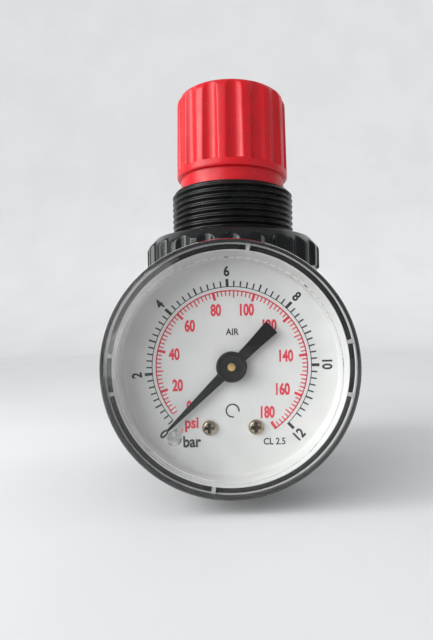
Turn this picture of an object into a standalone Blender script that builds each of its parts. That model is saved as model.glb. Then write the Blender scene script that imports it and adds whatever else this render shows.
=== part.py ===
"""Small air pressure regulator with a fluted push-lock knob, a threaded bonnet, a panel ring nut
and a round dial gauge. Metres, +Z up the knob's axis, the gauge facing -Y, the ports along X."""

import math

import bmesh
import bpy
from mathutils import Matrix

MM = 0.001

# Clearances between neighbouring pieces.
GAP = 0.3 * MM  # between faces that meet
SLIP = 0.2 * MM  # between pieces that slide or drop in
FIT = 0.15 * MM  # round a small pin or arbor
CLOSE = 0.1 * MM  # between pieces clamped together
OVER = 1 * MM  # how far a cutter, or a boss that is joined on, reaches past a face
FACETS = 32  # steps round the large turned pieces
SMALL_FACETS = 20  # steps round the small ones

# Body: a rounded block with a port boss each way and a threaded spigot on top.
PORT_HEIGHT = 28 * MM
BODY_WIDTH = 37 * MM
BODY_BOTTOM = 6.5 * MM
BODY_TOP = 36 * MM
BODY_CORNER = 6 * MM
PORT_REACH = 22 * MM
PORT_BOSS_R = 8.0 * MM
PORT_R = 5.8 * MM
PORT_DEPTH = 12 * MM
SIDE_REACH = 19.5 * MM
SIDE_BOSS_R = 7.8 * MM
SIDE_PORT_R = 4.7 * MM
SIDE_PORT_DEPTH = 8.5 * MM
SPIGOT_R = 17.5 * MM
SPIGOT_TOP = 40 * MM
DIAPHRAGM_CHAMBER_R = 14.5 * MM
CHAMBER_R = 7.5 * MM
SEAT_WEB_LOW = 26.2 * MM
SEAT_WEB_TOP = 29 * MM
GUIDE_WEB_LOW = 34 * MM
GUIDE_WEB_TOP = 36.5 * MM
PASSAGE_R = 2.0 * MM
SENSE_R = 1.0 * MM
GAUGE_PASSAGE_R = 1.2 * MM
SENSE_START = 2 * MM  # above the port's axis
SENSE_INSET = 1.7 * MM  # from the port's blind end

# Bottom plug, its ring seal and the valve.
PLUG_ACROSS_FLATS = 24 * MM
PLUG_THREAD_R = 9.4 * MM
PLUG_TOP = 15 * MM
PLUG_POCKET_R = 5 * MM
PLUG_FLOOR = 5 * MM
PLUG_CHAMFER = 0.8 * MM
PLUG_RING_WIRE = 0.75 * MM
PLUG_LAND = 1.2 * MM
STEM_R = 1.5 * MM
STEM_PLAY = 0.4 * MM
STEM_TOP = 37.3 * MM
POPPET_R = 5.2 * MM
POPPET_THICK = 1.6 * MM
POPPET_BOSS_R = 2.4 * MM
POPPET_BOSS = 3.8 * MM
DISC_R = 4.8 * MM
DISC_THICK = 1.2 * MM
SEAT_R = 5.6 * MM
SEAT_BORE = 2.6 * MM
SEAT_LIP = 0.4 * MM
SEAT_LIP_CREST = 0.6 * MM
SEAT_LIP_ROOT = 1.0 * MM
SEAT_FLANGE = 1.5 * MM
SEAT_RIM = 0.6 * MM
VALVE_SPRING_R = 3.4 * MM
VALVE_WIRE = 0.4 * MM
VALVE_TURNS = 5
STEM_RING_WIRE = 0.65 * MM
RING_ROOM = 0.5 * MM

# Diaphragm stack.
DIAPHRAGM_R = 16.4 * MM
DIAPHRAGM_THICK = 1.2 * MM
ROLL_DEPTH = 0.9 * MM
ROLL_START = 0.5 * MM  # outside the plate
ROLL_END = 0.7 * MM  # inside the chamber
HUB_R = 6 * MM
HUB_THICK = 1.5 * MM
HUB_BOSS = 0.8 * MM
HUB_BOSS_WALL = 0.7 * MM
HUB_STUD_R = 1.9 * MM
RELIEF_R = 0.8 * MM
PLATE_R = 10.3 * MM
PLATE_THICK = 1.7 * MM
PLATE_LIP_R = 6.8 * MM
PLATE_LIP = 1.0 * MM
PLATE_LIP_WALL = 0.8 * MM
HUB_NUT_FLATS = 6.5 * MM
HUB_NUT_THICK = 1.6 * MM
STUD_PROUD = 0.8 * MM

# Bonnet with its outside thread, spring chamber and knob pocket.
BONNET_SKIRT_R = 20.5 * MM
BONNET_FLATS = 39.4 * MM
SKIRT_CHAMFER = 0.8 * MM
BONNET_SHOULDER = 49 * MM
BONNET_TOP = 71.9 * MM
BONNET_RIM_R = 14.9 * MM
THREAD_R = 16 * MM
THREAD_PITCH = 1.5 * MM
THREAD_DEPTH = 0.92 * MM
THREAD_TOP = BONNET_TOP - 2.7 * MM
THREAD_LAND = 0.7 * MM  # plain collar under the thread
SPRING_CHAMBER_R = 12 * MM
KEYWAY_R = 13.1 * MM
KEY_WIDTH = 3 * MM
KEYWAY_ROOM = 0.5 * MM
WEB_LOW = BONNET_TOP - 6.7 * MM
WEB_TOP = BONNET_TOP - 4.7 * MM
LOCK_TEETH = 12
LOCK_TOOTH_WIDTH = 1.6 * MM
LOCK_TOOTH = 1.6 * MM
VENT_R = 0.9 * MM
VENT_DROP = 3 * MM

# Adjusting screw, spring seat and range spring.
NECK_R = 4.2 * MM
COLLAR_R = 6.5 * MM
COLLAR_THICK = 1.6 * MM
SCREW_R = 3.9 * MM
SCREW_END = BONNET_TOP - 18.4 * MM
SCREW_POINT = 0.6 * MM
SCREW_HEX_FLATS = 7.4 * MM
SCREW_HEX_LOW = BONNET_TOP - 3.0 * MM
SCREW_TOP = BONNET_TOP + 10.1 * MM
CLIP_R = 6.3 * MM
CLIP_THICK = 0.7 * MM
CLIP_GROOVE = 0.7 * MM
CLIP_ROOM = 0.45 * MM
SEAT_NUT_R = 11.2 * MM
SEAT_NUT_THICK = 3 * MM
SEAT_NUT_BOSS_R = 6.3 * MM
SEAT_NUT_BOSS = 2.5 * MM
KEY_R = 12.8 * MM
RANGE_SPRING_R = 8.2 * MM
RANGE_WIRE = 0.9 * MM
RANGE_TURNS = 5

# Knob.
KNOB_TOP = BONNET_TOP + 25.3 * MM
KNOB_TOP_R = 14.33 * MM
KNOB_SKIRT_R = 14.67 * MM
KNOB_SKIRT_LOW = BONNET_TOP + 3.5 * MM
KNOB_SKIRT_TOP = BONNET_TOP + 5.5 * MM
KNOB_SHOULDER = 2 * MM
SKIRT_BEVEL = 0.7 * MM
KNOB_NECK_R = 13.67 * MM
KNOB_NECK_LOW = BONNET_TOP - 1.9 * MM
KNOB_BORE_R = 11.6 * MM
KNOB_CROWN = 3.5 * MM
KNOB_BOSS_R = 6.6 * MM
KNOB_BOSS_LOW = BONNET_TOP + 0.1 * MM
KNOB_SOCKET = 12.5 * MM
KNOB_FLUTES = 15
FLUTE_START = math.radians(10)  # so that a flute faces nearly forward
FLUTE_R = 2.6 * MM
FLUTE_DEPTH = 1.1 * MM
LOCK_SLOT = 2 * MM

# Panel ring nut.
NUT_TOP = 59.3 * MM
NUT_HEIGHT = 8 * MM
NUT_R = 22.9 * MM
NUT_TOP_R = 20.5 * MM
NUT_SHOULDER = 2.6 * MM
NUT_CHAMFER = 0.5 * MM
NUT_SCALLOPS = 24
SCALLOP_R = 2.5 * MM
SCALLOP_DEPTH = 1.0 * MM

# Gauge, measured forward from the knob's axis.
CASE_R = 24 * MM
CASE_BACK = 23.6 * MM
CASE_FRONT = 39 * MM
CASE_WALL = 1.2 * MM
CASE_CHAMFER = 1 * MM
CASE_LEDGE_R = CASE_R - 2.7 * MM
LENS_R = CASE_R + 1 * MM
LENS_BACK = 36.2 * MM
LENS_RIM = 41 * MM
LENS_FRONT = 44.4 * MM
LENS_THICK = 1.5 * MM
LENS_FACE_R = CASE_R - 3.2 * MM
LENS_STEP = 0.7 * MM
LENS_SLOPE = 1.4 * MM
LENS_FALL = 1.1 * MM
LENS_ROUND = 0.7 * MM
LENS_LIP = 1.3 * MM
STOP_PIN_ROOT_R = 1.35 * MM
STOP_PIN_TIP_R = 0.6 * MM
STOP_PIN_REACH = 16.4 * MM
STOP_PIN_GAP = 0.4 * MM
DIAL_R = CASE_R - 1.5 * MM
DIAL_FRONT = 32.3 * MM
DIAL_THICK = 0.5 * MM
DIAL_SCREW_X = 4.75 * MM
DIAL_SCREW_DROP = 12.5 * MM
DIAL_SCREW_R = 1.55 * MM
DIAL_SCREW_HEAD = 0.9 * MM
HEAD_FLAT = 0.6  # a small screw's flat top, as a share of its head
RECESS_SHARE = 0.55
RECESS_WIDTH = 0.4 * MM
SMALL_SHANK_R = 0.6 * MM
ZERO_ANGLE = math.radians(-135)
POINTER_FRONT = 34.5 * MM
POINTER_HUB_R = 3.15 * MM
POINTER_HUB_THICK = 1.1 * MM
POINTER_RIM = 0.7 * MM
POINTER_THICK = 0.5 * MM
POINTER_TIP = 18.4 * MM
POINTER_TAIL = 11.5 * MM
POINTER_ROOT_WIDTH = 2 * MM
POINTER_TIP_WIDTH = 0.6 * MM
POINTER_TAIL_WIDTH = 3.2 * MM
WAIST_SHARE = 0.72  # of the tail's width, a little over half way along it
WAIST_AT = 0.55

# Gauge socket, mounted in the front port.
SHANK_R = 4.4 * MM
SOCKET_FLATS = 14 * MM
SOCKET_NECK_R = 5 * MM
SOCKET_PLATE_R = 11.5 * MM
SOCKET_PLATE_THICK = 1.6 * MM
SOCKET_BORE = 1.3 * MM
SEAL_R = 7.2 * MM
SEAL_THICK = 1 * MM
ROOT_WIDTH = 7 * MM
ROOT_TOP = 14.8 * MM
ROOT_LOW = 18.4 * MM
ROOT_FRONT = 30.2 * MM
CASE_SCREW_X = 9.7 * MM
CASE_SCREW_R = 1.6 * MM
CASE_SCREW_HEAD = 1 * MM
CASE_SHANK_R = 0.9 * MM
REAR_HEAD_R = 6.8 * MM
REAR_HEAD = 2.5 * MM
REAR_HEX_FLATS = 5 * MM
REAR_HEX_DEPTH = 1.8 * MM
REAR_CHAMFER = 0.5 * MM
REAR_SEAL_R = 6.7 * MM

# Gauge movement.
BACK_PLATE = 27.4 * MM
FRONT_PLATE = 30.4 * MM
MOVEMENT_SHEET = 0.6 * MM
PLATE_HALF_WIDTH = 7.2 * MM
PLATE_HIGH = 3.7 * MM
PLATE_DROP = 14.4 * MM
PLATE_CORNER = 1.5 * MM
PILLAR_R = 0.9 * MM
PILLAR_X = 6.1 * MM
PILLAR_HIGH = 2.5 * MM
PILLAR_DROP = 13.2 * MM
GEAR_MODULE = 0.25 * MM
PINION_TEETH = 12
SECTOR_TEETH = 72  # teeth that a full wheel would have
SECTOR_CUT_TEETH = 12  # teeth cut on the sector
GEAR_SWEEP = math.radians(270)  # the pointer's travel
TOOTH_SHARE = 0.34  # of the pitch, as wide as a tooth is at the pitch line
SECTOR_SHEET = 0.7 * MM
SECTOR_BACK = 28.9 * MM
SECTOR_HUB_R = 1.4 * MM
ARBOR_R = 0.6 * MM
PIVOT_R = 0.5 * MM
ARBOR_NOSE_R = 0.8 * MM
LINK_BACK = 28.2 * MM
LINK_SHEET = 0.5 * MM
LINK_WIDTH = 1.8 * MM
PIN_R = 0.35 * MM
TAIL_X = 2.0 * MM
TAIL_DROP = 1.6 * MM
TAIL_R = 0.7 * MM
TUBE_R = 16.5 * MM
TUBE_WIDTH = 4.2 * MM
TUBE_THICK = 1.6 * MM
TUBE_START = math.radians(256)
TUBE_END = math.radians(2)
TIP_SIZE = 2.5 * MM
TIP_DROP = 1.3 * MM
TIP_LUG = 1.7 * MM
TIP_LUG_WIDTH = 1.6 * MM
HAIRSPRING_R = 3.2 * MM
HAIRSPRING_WIRE = 0.12 * MM
HAIRSPRING_TURNS = 3

# Heights that follow from the sizes above.
PLUG_FLANGE_TOP = BODY_BOTTOM - GAP
PASSAGE_START = CHAMBER_R - SEAT_FLANGE
SHANK_END = SIDE_REACH - SIDE_PORT_DEPTH + OVER
SEAT_LOW = SEAT_WEB_LOW - SLIP - SEAT_RIM
DISC_TOP = SEAT_LOW - SEAT_LIP - SLIP
POPPET_TOP = DISC_TOP - DISC_THICK - CLOSE
POPPET_LOW = POPPET_TOP - POPPET_THICK
DIAPHRAGM_LOW = SPIGOT_TOP + CLOSE
DIAPHRAGM_TOP = DIAPHRAGM_LOW + DIAPHRAGM_THICK
CLAMP_HEIGHT = DIAPHRAGM_TOP + CLOSE
BONNET_LOW = BODY_TOP + GAP
PLATE_LOW = DIAPHRAGM_TOP + SLIP
PLATE_TOP = PLATE_LOW + PLATE_THICK
HUB_TOP = DIAPHRAGM_LOW - SLIP
THREAD_ROOT_R = THREAD_R - THREAD_DEPTH
COLLAR_TOP = WEB_LOW - SLIP
COLLAR_LOW = COLLAR_TOP - COLLAR_THICK
SEAT_NUT_TOP = COLLAR_LOW - 2 * SLIP
SEAT_NUT_LOW = SEAT_NUT_TOP - SEAT_NUT_THICK
CLIP_LOW = WEB_TOP + CLIP_ROOM
NUT_LOW = NUT_TOP - NUT_HEIGHT
DIAL_BACK = DIAL_FRONT - DIAL_THICK
CASE_FLOOR = CASE_BACK + CASE_WALL
SOCKET_PLATE_BACK = CASE_FLOOR + SLIP
SOCKET_PLATE_FRONT = SOCKET_PLATE_BACK + SOCKET_PLATE_THICK
SEAL_BACK = SIDE_REACH + CLOSE
SEAL_FRONT = SEAL_BACK + SEAL_THICK
HEX_BACK = SEAL_FRONT + SLIP
HEX_FRONT = CASE_BACK - GAP
POINTER_BACK = POINTER_FRONT - POINTER_HUB_THICK
PINION_R = GEAR_MODULE * PINION_TEETH / 2
SECTOR_R = GEAR_MODULE * SECTOR_TEETH / 2
SECTOR_DROP = PINION_R + SECTOR_R
SECTOR_TILT = GEAR_SWEEP * PINION_TEETH / SECTOR_TEETH / 2
LUG_X = TUBE_R - TIP_SIZE / 2 - TIP_LUG


# Scene and small helpers.


def clear_scene():
    """Empties the scene."""
    for obj in list(bpy.data.objects):
        bpy.data.objects.remove(obj, do_unlink=True)
    for collection in list(bpy.data.collections):
        bpy.data.collections.remove(collection)


def new_collection(name):
    """A collection in the scene."""
    collection = bpy.data.collections.new(name)
    bpy.context.scene.collection.children.link(collection)
    return collection


def new_object(name, data):
    """An object that starts among the cutters, until finish() makes it a part."""
    obj = bpy.data.objects.new(name, data)
    CUTTERS.objects.link(obj)
    obj.hide_render = True
    obj.display_type = "WIRE"
    return obj


def new_mesh(name, bm):
    """An object from a bmesh, with its faces turned outwards and its round sides smooth."""
    bmesh.ops.recalc_face_normals(bm, faces=bm.faces)
    mesh = bpy.data.meshes.new(name)
    bm.to_mesh(mesh)
    bm.free()
    mesh.shade_smooth()
    mesh.set_sharp_from_angle(angle=math.radians(35))
    return new_object(name, mesh)


def finish(obj, material, parent=None):
    """Makes an object one of the parts, with a material of its own."""
    CUTTERS.objects.unlink(obj)
    PARTS.objects.link(obj)
    obj.hide_render = False
    obj.display_type = "TEXTURED"
    own = material.copy()
    own.name = f"{obj.name}_{material.name}"
    obj.data.materials.clear()
    obj.data.materials.append(own)
    if parent:
        obj.parent = parent
    return obj


def material(name, colour, roughness, metallic=0.0, alpha=1.0):
    """A Principled material."""
    made = bpy.data.materials.new(name)
    made.use_nodes = True
    shader = made.node_tree.nodes["Principled BSDF"]
    shader.inputs["Base Color"].default_value = (*colour, 1)
    shader.inputs["Roughness"].default_value = roughness
    shader.inputs["Metallic"].default_value = metallic
    shader.inputs["Alpha"].default_value = alpha
    made.diffuse_color = (*colour, alpha)
    return made


def boolean(obj, other, operation):
    """Adds or takes away another object."""
    modifier = obj.modifiers.new(operation.lower(), "BOOLEAN")
    modifier.operation = operation
    modifier.solver = "EXACT"
    modifier.object = other
    if obj.parent and not other.parent:
        other.parent = obj.parent
    return obj


def cut(obj, *others):
    """Takes each other object away."""
    for other in others:
        boolean(obj, other, "DIFFERENCE")
    return obj


def add(obj, *others):
    """Joins each other object on."""
    for other in others:
        boolean(obj, other, "UNION")
    return obj


def turned(name, outline, ring=False, steps=FACETS):
    """A turned solid. The outline runs down the outer side; a ring's outline closes on itself."""
    bm = bmesh.new()
    verts = [bm.verts.new((radius, 0, z)) for radius, z in outline]
    for a, b in zip(verts, verts[1:]):
        bm.edges.new((a, b))
    if ring:
        bm.edges.new((verts[-1], verts[0]))
    mesh = bpy.data.meshes.new(name)
    bm.to_mesh(mesh)
    bm.free()
    profile = bpy.data.objects.new(name, mesh)
    screw = profile.modifiers.new("turn", "SCREW")
    screw.steps = screw.render_steps = steps
    screw.use_merge_vertices = True
    screw.merge_threshold = 0.00001
    return converted(name, profile)


def drum(name, radius, low, high, sides=SMALL_FACETS, top_radius=None):
    """A cylinder or cone along Z, with a flat half a side away from +X when sides is even."""
    bm = bmesh.new()
    top = radius if top_radius is None else top_radius
    place = Matrix.Translation((0, 0, (low + high) / 2)) @ Matrix.Rotation(math.pi / sides, 4, "Z")
    bmesh.ops.create_cone(
        bm, cap_ends=True, segments=sides, radius1=radius, radius2=top, depth=high - low, matrix=place
    )
    return new_mesh(name, bm)


def hexagon(name, flats, low, high):
    """A hexagonal bar along Z, given across its flats."""
    return drum(name, flats / math.sqrt(3), low, high, 6)


def box(name, low, high):
    """A box between two corners."""
    bm = bmesh.new()
    bmesh.ops.create_cube(bm, size=1)
    for vert in bm.verts:
        vert.co = [a + (b - a) * (c + 0.5) for a, b, c in zip(low, high, vert.co)]
    return new_mesh(name, bm)


def around(name, source, count, radius=0.0, first=0.0):
    """One cutter made of copies of a mesh round Z, each moved out along X and then turned."""
    bm = bmesh.new()
    for step in range(count):
        before = len(bm.verts)
        bm.from_mesh(source.data)
        bm.verts.ensure_lookup_table()
        angle = first + 2 * math.pi * step / count
        place = Matrix.Rotation(angle, 4, "Z") @ Matrix.Translation((radius, 0, 0))
        bmesh.ops.transform(bm, matrix=place, verts=bm.verts[before:])
    bpy.data.objects.remove(source)
    return new_mesh(name, bm)


def circle(x, y, radius, sides=16):
    """The points of a circle in a plate's outline."""
    steps = [2 * math.pi * (step + 0.5) / sides for step in range(sides)]
    return [(x + radius * math.cos(a), y + radius * math.sin(a)) for a in steps]


def plate(name, outlines, low, high):
    """A flat plate from closed outlines, the first its edge and the others its holes."""
    curve = bpy.data.curves.new(name, "CURVE")
    curve.dimensions = "2D"
    curve.fill_mode = "BOTH"
    curve.extrude = (high - low) / 2
    for points in outlines:
        spline = curve.splines.new("POLY")
        spline.points.add(len(points) - 1)
        for point, (x, y) in zip(spline.points, points):
            point.co = (x, y, 0, 1)
        spline.use_cyclic_u = True
    flat = bpy.data.objects.new(name, curve)
    return converted(name, flat, (low + high) / 2)


def converted(name, source, lift=0.0):
    """A mesh object from a curve or a turned profile, with its seams closed."""
    CUTTERS.objects.link(source)
    graph = bpy.context.evaluated_depsgraph_get()
    mesh = bpy.data.meshes.new_from_object(source.evaluated_get(graph))
    bpy.data.objects.remove(source)
    bm = bmesh.new()
    bm.from_mesh(mesh)
    bpy.data.meshes.remove(mesh)
    bmesh.ops.remove_doubles(bm, verts=bm.verts, dist=1e-7)
    bmesh.ops.translate(bm, vec=(0, 0, lift), verts=bm.verts)
    return new_mesh(name, bm)


def wire(name, points, radius, resolution=2, cyclic=False):
    """A round bar along a line of points."""
    curve = bpy.data.curves.new(name, "CURVE")
    curve.dimensions = "3D"
    curve.bevel_depth = radius
    curve.bevel_resolution = resolution
    curve.use_fill_caps = not cyclic
    spline = curve.splines.new("POLY")
    spline.points.add(len(points) - 1)
    for point, co in zip(spline.points, points):
        point.co = (*co, 1)
    spline.use_cyclic_u = cyclic
    bar = bpy.data.objects.new(name, curve)
    return converted(name, bar)


def coil(name, radius, bar, low, high, turns, per_turn=12):
    """A compression spring between two heights, with one closed turn at each end."""
    points = []
    bottom, top = low + bar, high - bar
    closed = 2.15 * bar
    free = (top - bottom - 2 * closed) / (turns - 2)
    for step in range(turns * per_turn + 1):
        turn = step / per_turn
        if turn < 1:
            z = bottom + closed * turn
        elif turn > turns - 1:
            z = top - closed * (turns - turn)
        else:
            z = bottom + closed + free * (turn - 1)
        angle = 2 * math.pi * turn
        points.append((radius * math.cos(angle), radius * math.sin(angle), z))
    return wire(name, points, bar)


def o_ring(name, radius, bar, height, steps=24):
    """A round ring seal."""
    sides = 8
    angles = [-2 * math.pi * k / sides for k in range(sides)]
    outline = [(radius + bar * math.cos(a), height + bar * math.sin(a)) for a in angles]
    return turned(name, outline, ring=True, steps=steps)


def sideways(obj, angle_z):
    """Lays an object's +Z along the horizontal direction at an angle from +X, at port height."""
    obj.rotation_euler = (0, math.pi / 2, angle_z)
    obj.location = (0, 0, PORT_HEIGHT)
    return obj


# Body, plugs and valve.


def body_block():
    """The rounded block, its bosses and its spigot."""
    half = BODY_WIDTH / 2
    bm = bmesh.new()
    bmesh.ops.create_cube(bm, size=1)
    for vert in bm.verts:
        vert.co.x *= BODY_WIDTH
        vert.co.y *= BODY_WIDTH
        vert.co.z = BODY_TOP if vert.co.z > 0 else BODY_BOTTOM
    upright = [e for e in bm.edges if abs(e.verts[0].co.z - e.verts[1].co.z) > OVER]
    bmesh.ops.bevel(bm, geom=upright, offset=BODY_CORNER, segments=4, profile=0.5, affect="EDGES")
    block = new_mesh("body", bm)
    bosses = [
        sideways(drum("port_boss", PORT_BOSS_R, half - OVER, PORT_REACH, 24), 0),
        sideways(drum("port_boss", PORT_BOSS_R, half - OVER, PORT_REACH, 24), math.pi),
        sideways(drum("side_boss", SIDE_BOSS_R, half - OVER, SIDE_REACH, 24), math.pi / 2),
        sideways(drum("side_boss", SIDE_BOSS_R, half - OVER, SIDE_REACH, 24), -math.pi / 2),
    ]
    spigot = drum("spigot", SPIGOT_R, BODY_TOP - OVER, SPIGOT_TOP, FACETS)
    return add(block, spigot, *bosses)


def body_core():
    """The stepped bore up the middle of the body."""
    plug_bore = PLUG_THREAD_R + GAP
    guide = STEM_R + STEM_PLAY
    ring_pocket = STEM_R + 2 * STEM_RING_WIRE + RING_ROOM
    pocket_low = GUIDE_WEB_TOP - 2 * STEM_RING_WIRE - SLIP
    seat_bore = SEAT_R - SEAT_FLANGE + SLIP
    outline = [
        (0, SPIGOT_TOP + OVER),
        (DIAPHRAGM_CHAMBER_R, SPIGOT_TOP + OVER),
        (DIAPHRAGM_CHAMBER_R, GUIDE_WEB_TOP),
        (ring_pocket, GUIDE_WEB_TOP),
        (ring_pocket, pocket_low),
        (guide, pocket_low),
        (guide, GUIDE_WEB_LOW),
        (CHAMBER_R, GUIDE_WEB_LOW),
        (CHAMBER_R, SEAT_WEB_TOP),
        (seat_bore, SEAT_WEB_TOP),
        (seat_bore, SEAT_WEB_LOW),
        (CHAMBER_R, SEAT_WEB_LOW),
        (CHAMBER_R, PLUG_TOP + OVER),
        (plug_bore, PLUG_TOP + OVER),
        (plug_bore, BODY_BOTTOM - OVER),
        (0, BODY_BOTTOM - OVER),
    ]
    return turned("core", outline, steps=24)


def port_cutter(reach, radius, depth, passage_r, passage_height, angle):
    """A blind port and the passage from its end into the middle chamber."""
    port = sideways(drum("port", radius, reach - depth, reach + OVER, 24), angle)
    passage = sideways(drum("passage", passage_r, PASSAGE_START, reach - depth + OVER, 12), angle)
    passage.location.z = passage_height
    return [port, passage]


def make_body():
    """The body with its ports, chambers and passages."""
    body = cut(body_block(), body_core())
    inlet_low = SEAT_WEB_LOW - PASSAGE_R - SLIP
    outlet_high = SEAT_WEB_TOP + PASSAGE_R + GAP
    gauge_high = SEAT_WEB_TOP + GAUGE_PASSAGE_R + GAP
    cutters = port_cutter(PORT_REACH, PORT_R, PORT_DEPTH, PASSAGE_R, inlet_low, math.pi)
    cutters += port_cutter(PORT_REACH, PORT_R, PORT_DEPTH, PASSAGE_R, outlet_high, 0)
    for angle in (math.pi / 2, -math.pi / 2):
        cutters += port_cutter(
            SIDE_REACH, SIDE_PORT_R, SIDE_PORT_DEPTH, GAUGE_PASSAGE_R, gauge_high, angle
        )
    sense = drum("sense", SENSE_R, PORT_HEIGHT + SENSE_START, GUIDE_WEB_TOP + OVER, 12)
    sense.location.x = PORT_REACH - PORT_DEPTH + SENSE_INSET
    return finish(cut(body, sense, *cutters), BLACK_PAINT)


def make_bottom_plug():
    """The hexagonal plug under the valve, on which the regulator stands."""
    ring_r = PLUG_THREAD_R - 2 * PLUG_RING_WIRE
    ring_top = PLUG_TOP - PLUG_LAND
    ring_low = ring_top - 2 * PLUG_RING_WIRE - GAP
    outline = [
        (0, PLUG_TOP),
        (PLUG_THREAD_R, PLUG_TOP),
        (PLUG_THREAD_R, ring_top),
        (ring_r, ring_top),
        (ring_r, ring_low),
        (PLUG_THREAD_R, ring_low),
        (PLUG_THREAD_R, PLUG_FLOOR - OVER),
        (0, PLUG_FLOOR - OVER),
    ]
    thread = turned("plug_thread", outline, steps=28)
    corner_r = PLUG_ACROSS_FLATS / math.sqrt(3)
    flange = hexagon("bottom_plug", PLUG_ACROSS_FLATS, 0, PLUG_FLANGE_TOP)
    trim = turned(
        "plug_trim",
        [
            (corner_r + OVER, PLUG_FLANGE_TOP + OVER),
            (corner_r + OVER, -OVER),
            (corner_r - PLUG_CHAMFER - OVER, -OVER),
            (corner_r + CLOSE, PLUG_CHAMFER),
            (corner_r + CLOSE, PLUG_FLANGE_TOP + OVER),
        ],
        ring=True,
        steps=28,
    )
    pocket = drum("plug_pocket", PLUG_POCKET_R, PLUG_FLOOR, PLUG_TOP + OVER, 20)
    plug = cut(add(cut(flange, trim), thread), pocket)
    finish(plug, BLACK_PAINT)
    middle = (ring_top + ring_low) / 2
    ring = o_ring("plug_ring", ring_r + PLUG_RING_WIRE + CLOSE, PLUG_RING_WIRE, middle)
    finish(ring, RUBBER)


def make_valve():
    """Seat, poppet with its stem, rubber disc, spring and stem seal."""
    seat_top = SEAT_WEB_TOP - SLIP
    flange_top = SEAT_WEB_LOW - SLIP
    outline = [
        (SEAT_BORE, seat_top),
        (SEAT_R - SEAT_FLANGE, seat_top),
        (SEAT_R - SEAT_FLANGE, flange_top),
        (SEAT_R, flange_top),
        (SEAT_R, SEAT_LOW),
        (SEAT_BORE + SEAT_LIP_ROOT, SEAT_LOW),
        (SEAT_BORE + SEAT_LIP_CREST, SEAT_LOW - SEAT_LIP),
        (SEAT_BORE, SEAT_LOW - SEAT_LIP),
    ]
    finish(turned("valve_seat", outline, ring=True, steps=24), BRASS)
    outline = [
        (0, STEM_TOP),
        (STEM_R - GAP, STEM_TOP),
        (STEM_R, STEM_TOP - GAP),
        (STEM_R, POPPET_TOP),
        (POPPET_R, POPPET_TOP),
        (POPPET_R, POPPET_LOW),
        (POPPET_BOSS_R, POPPET_LOW),
        (POPPET_BOSS_R, POPPET_LOW - POPPET_BOSS),
        (0, POPPET_LOW - POPPET_BOSS),
    ]
    finish(turned("valve_poppet", outline, steps=24), BRASS)
    outline = [
        (STEM_R + GAP, DISC_TOP),
        (DISC_R, DISC_TOP),
        (DISC_R, DISC_TOP - DISC_THICK),
        (STEM_R + GAP, DISC_TOP - DISC_THICK),
    ]
    finish(turned("valve_disc", outline, ring=True, steps=24), RUBBER)
    spring_low, spring_top = PLUG_FLOOR + FIT, POPPET_LOW - FIT
    spring = coil("valve_spring", VALVE_SPRING_R, VALVE_WIRE, spring_low, spring_top, VALVE_TURNS, 10)
    finish(spring, STEEL)
    middle = GUIDE_WEB_TOP - STEM_RING_WIRE - CLOSE
    ring = o_ring("stem_ring", STEM_R + STEM_RING_WIRE + GAP, STEM_RING_WIRE, middle, 16)
    finish(ring, RUBBER)


def make_diaphragm():
    """The rolled rubber sheet with the hub below it and the plate and nut above it."""
    hole = HUB_STUD_R + GAP
    roll_in, roll_out = PLATE_R + ROLL_START, DIAPHRAGM_CHAMBER_R - ROLL_END
    roll_mid = (roll_in + roll_out) / 2
    outline = [
        (hole, DIAPHRAGM_TOP),
        (roll_in, DIAPHRAGM_TOP),
        (roll_mid, DIAPHRAGM_TOP - ROLL_DEPTH),
        (roll_out, DIAPHRAGM_TOP),
        (DIAPHRAGM_R, DIAPHRAGM_TOP),
        (DIAPHRAGM_R, DIAPHRAGM_LOW),
        (roll_out, DIAPHRAGM_LOW),
        (roll_mid, DIAPHRAGM_LOW - ROLL_DEPTH),
        (roll_in, DIAPHRAGM_LOW),
        (hole, DIAPHRAGM_LOW),
    ]
    finish(turned("diaphragm", outline, ring=True, steps=28), RUBBER)
    flange_low = HUB_TOP - HUB_THICK
    stud_top = PLATE_TOP + HUB_NUT_THICK + STUD_PROUD
    outline = [
        (RELIEF_R, stud_top),
        (HUB_STUD_R, stud_top),
        (HUB_STUD_R, HUB_TOP),
        (HUB_R, HUB_TOP),
        (HUB_R, flange_low),
        (HUB_STUD_R + HUB_BOSS_WALL, flange_low),
        (HUB_STUD_R + HUB_BOSS_WALL, flange_low - HUB_BOSS),
        (RELIEF_R, flange_low - HUB_BOSS),
    ]
    finish(turned("diaphragm_hub", outline, ring=True, steps=20), BRASS)
    outline = [
        (hole, PLATE_TOP),
        (PLATE_LIP_R - PLATE_LIP_WALL, PLATE_TOP),
        (PLATE_LIP_R - PLATE_LIP_WALL, PLATE_TOP + PLATE_LIP),
        (PLATE_LIP_R, PLATE_TOP + PLATE_LIP),
        (PLATE_LIP_R, PLATE_TOP),
        (PLATE_R, PLATE_TOP),
        (PLATE_R, PLATE_LOW),
        (hole, PLATE_LOW),
    ]
    finish(turned("diaphragm_plate", outline, ring=True, steps=28), STEEL)
    low = PLATE_TOP + CLOSE
    nut = hexagon("hub_nut", HUB_NUT_FLATS, low, low + HUB_NUT_THICK)
    cut(nut, drum("hub_nut_hole", HUB_STUD_R + SLIP, low - OVER, low + HUB_NUT_THICK + OVER, 16))
    finish(nut, STEEL)


# Bonnet, adjusting screw, spring, knob and panel nut.


def thread_outline():
    """The crests and roots of the outside thread, from the top down."""
    points = []
    crest = THREAD_TOP + THREAD_PITCH
    while crest - THREAD_PITCH / 2 > BONNET_SHOULDER + THREAD_PITCH / 2:
        points.append((THREAD_R, crest))
        points.append((THREAD_ROOT_R, crest - THREAD_PITCH / 2))
        crest -= THREAD_PITCH
    return points


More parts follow.
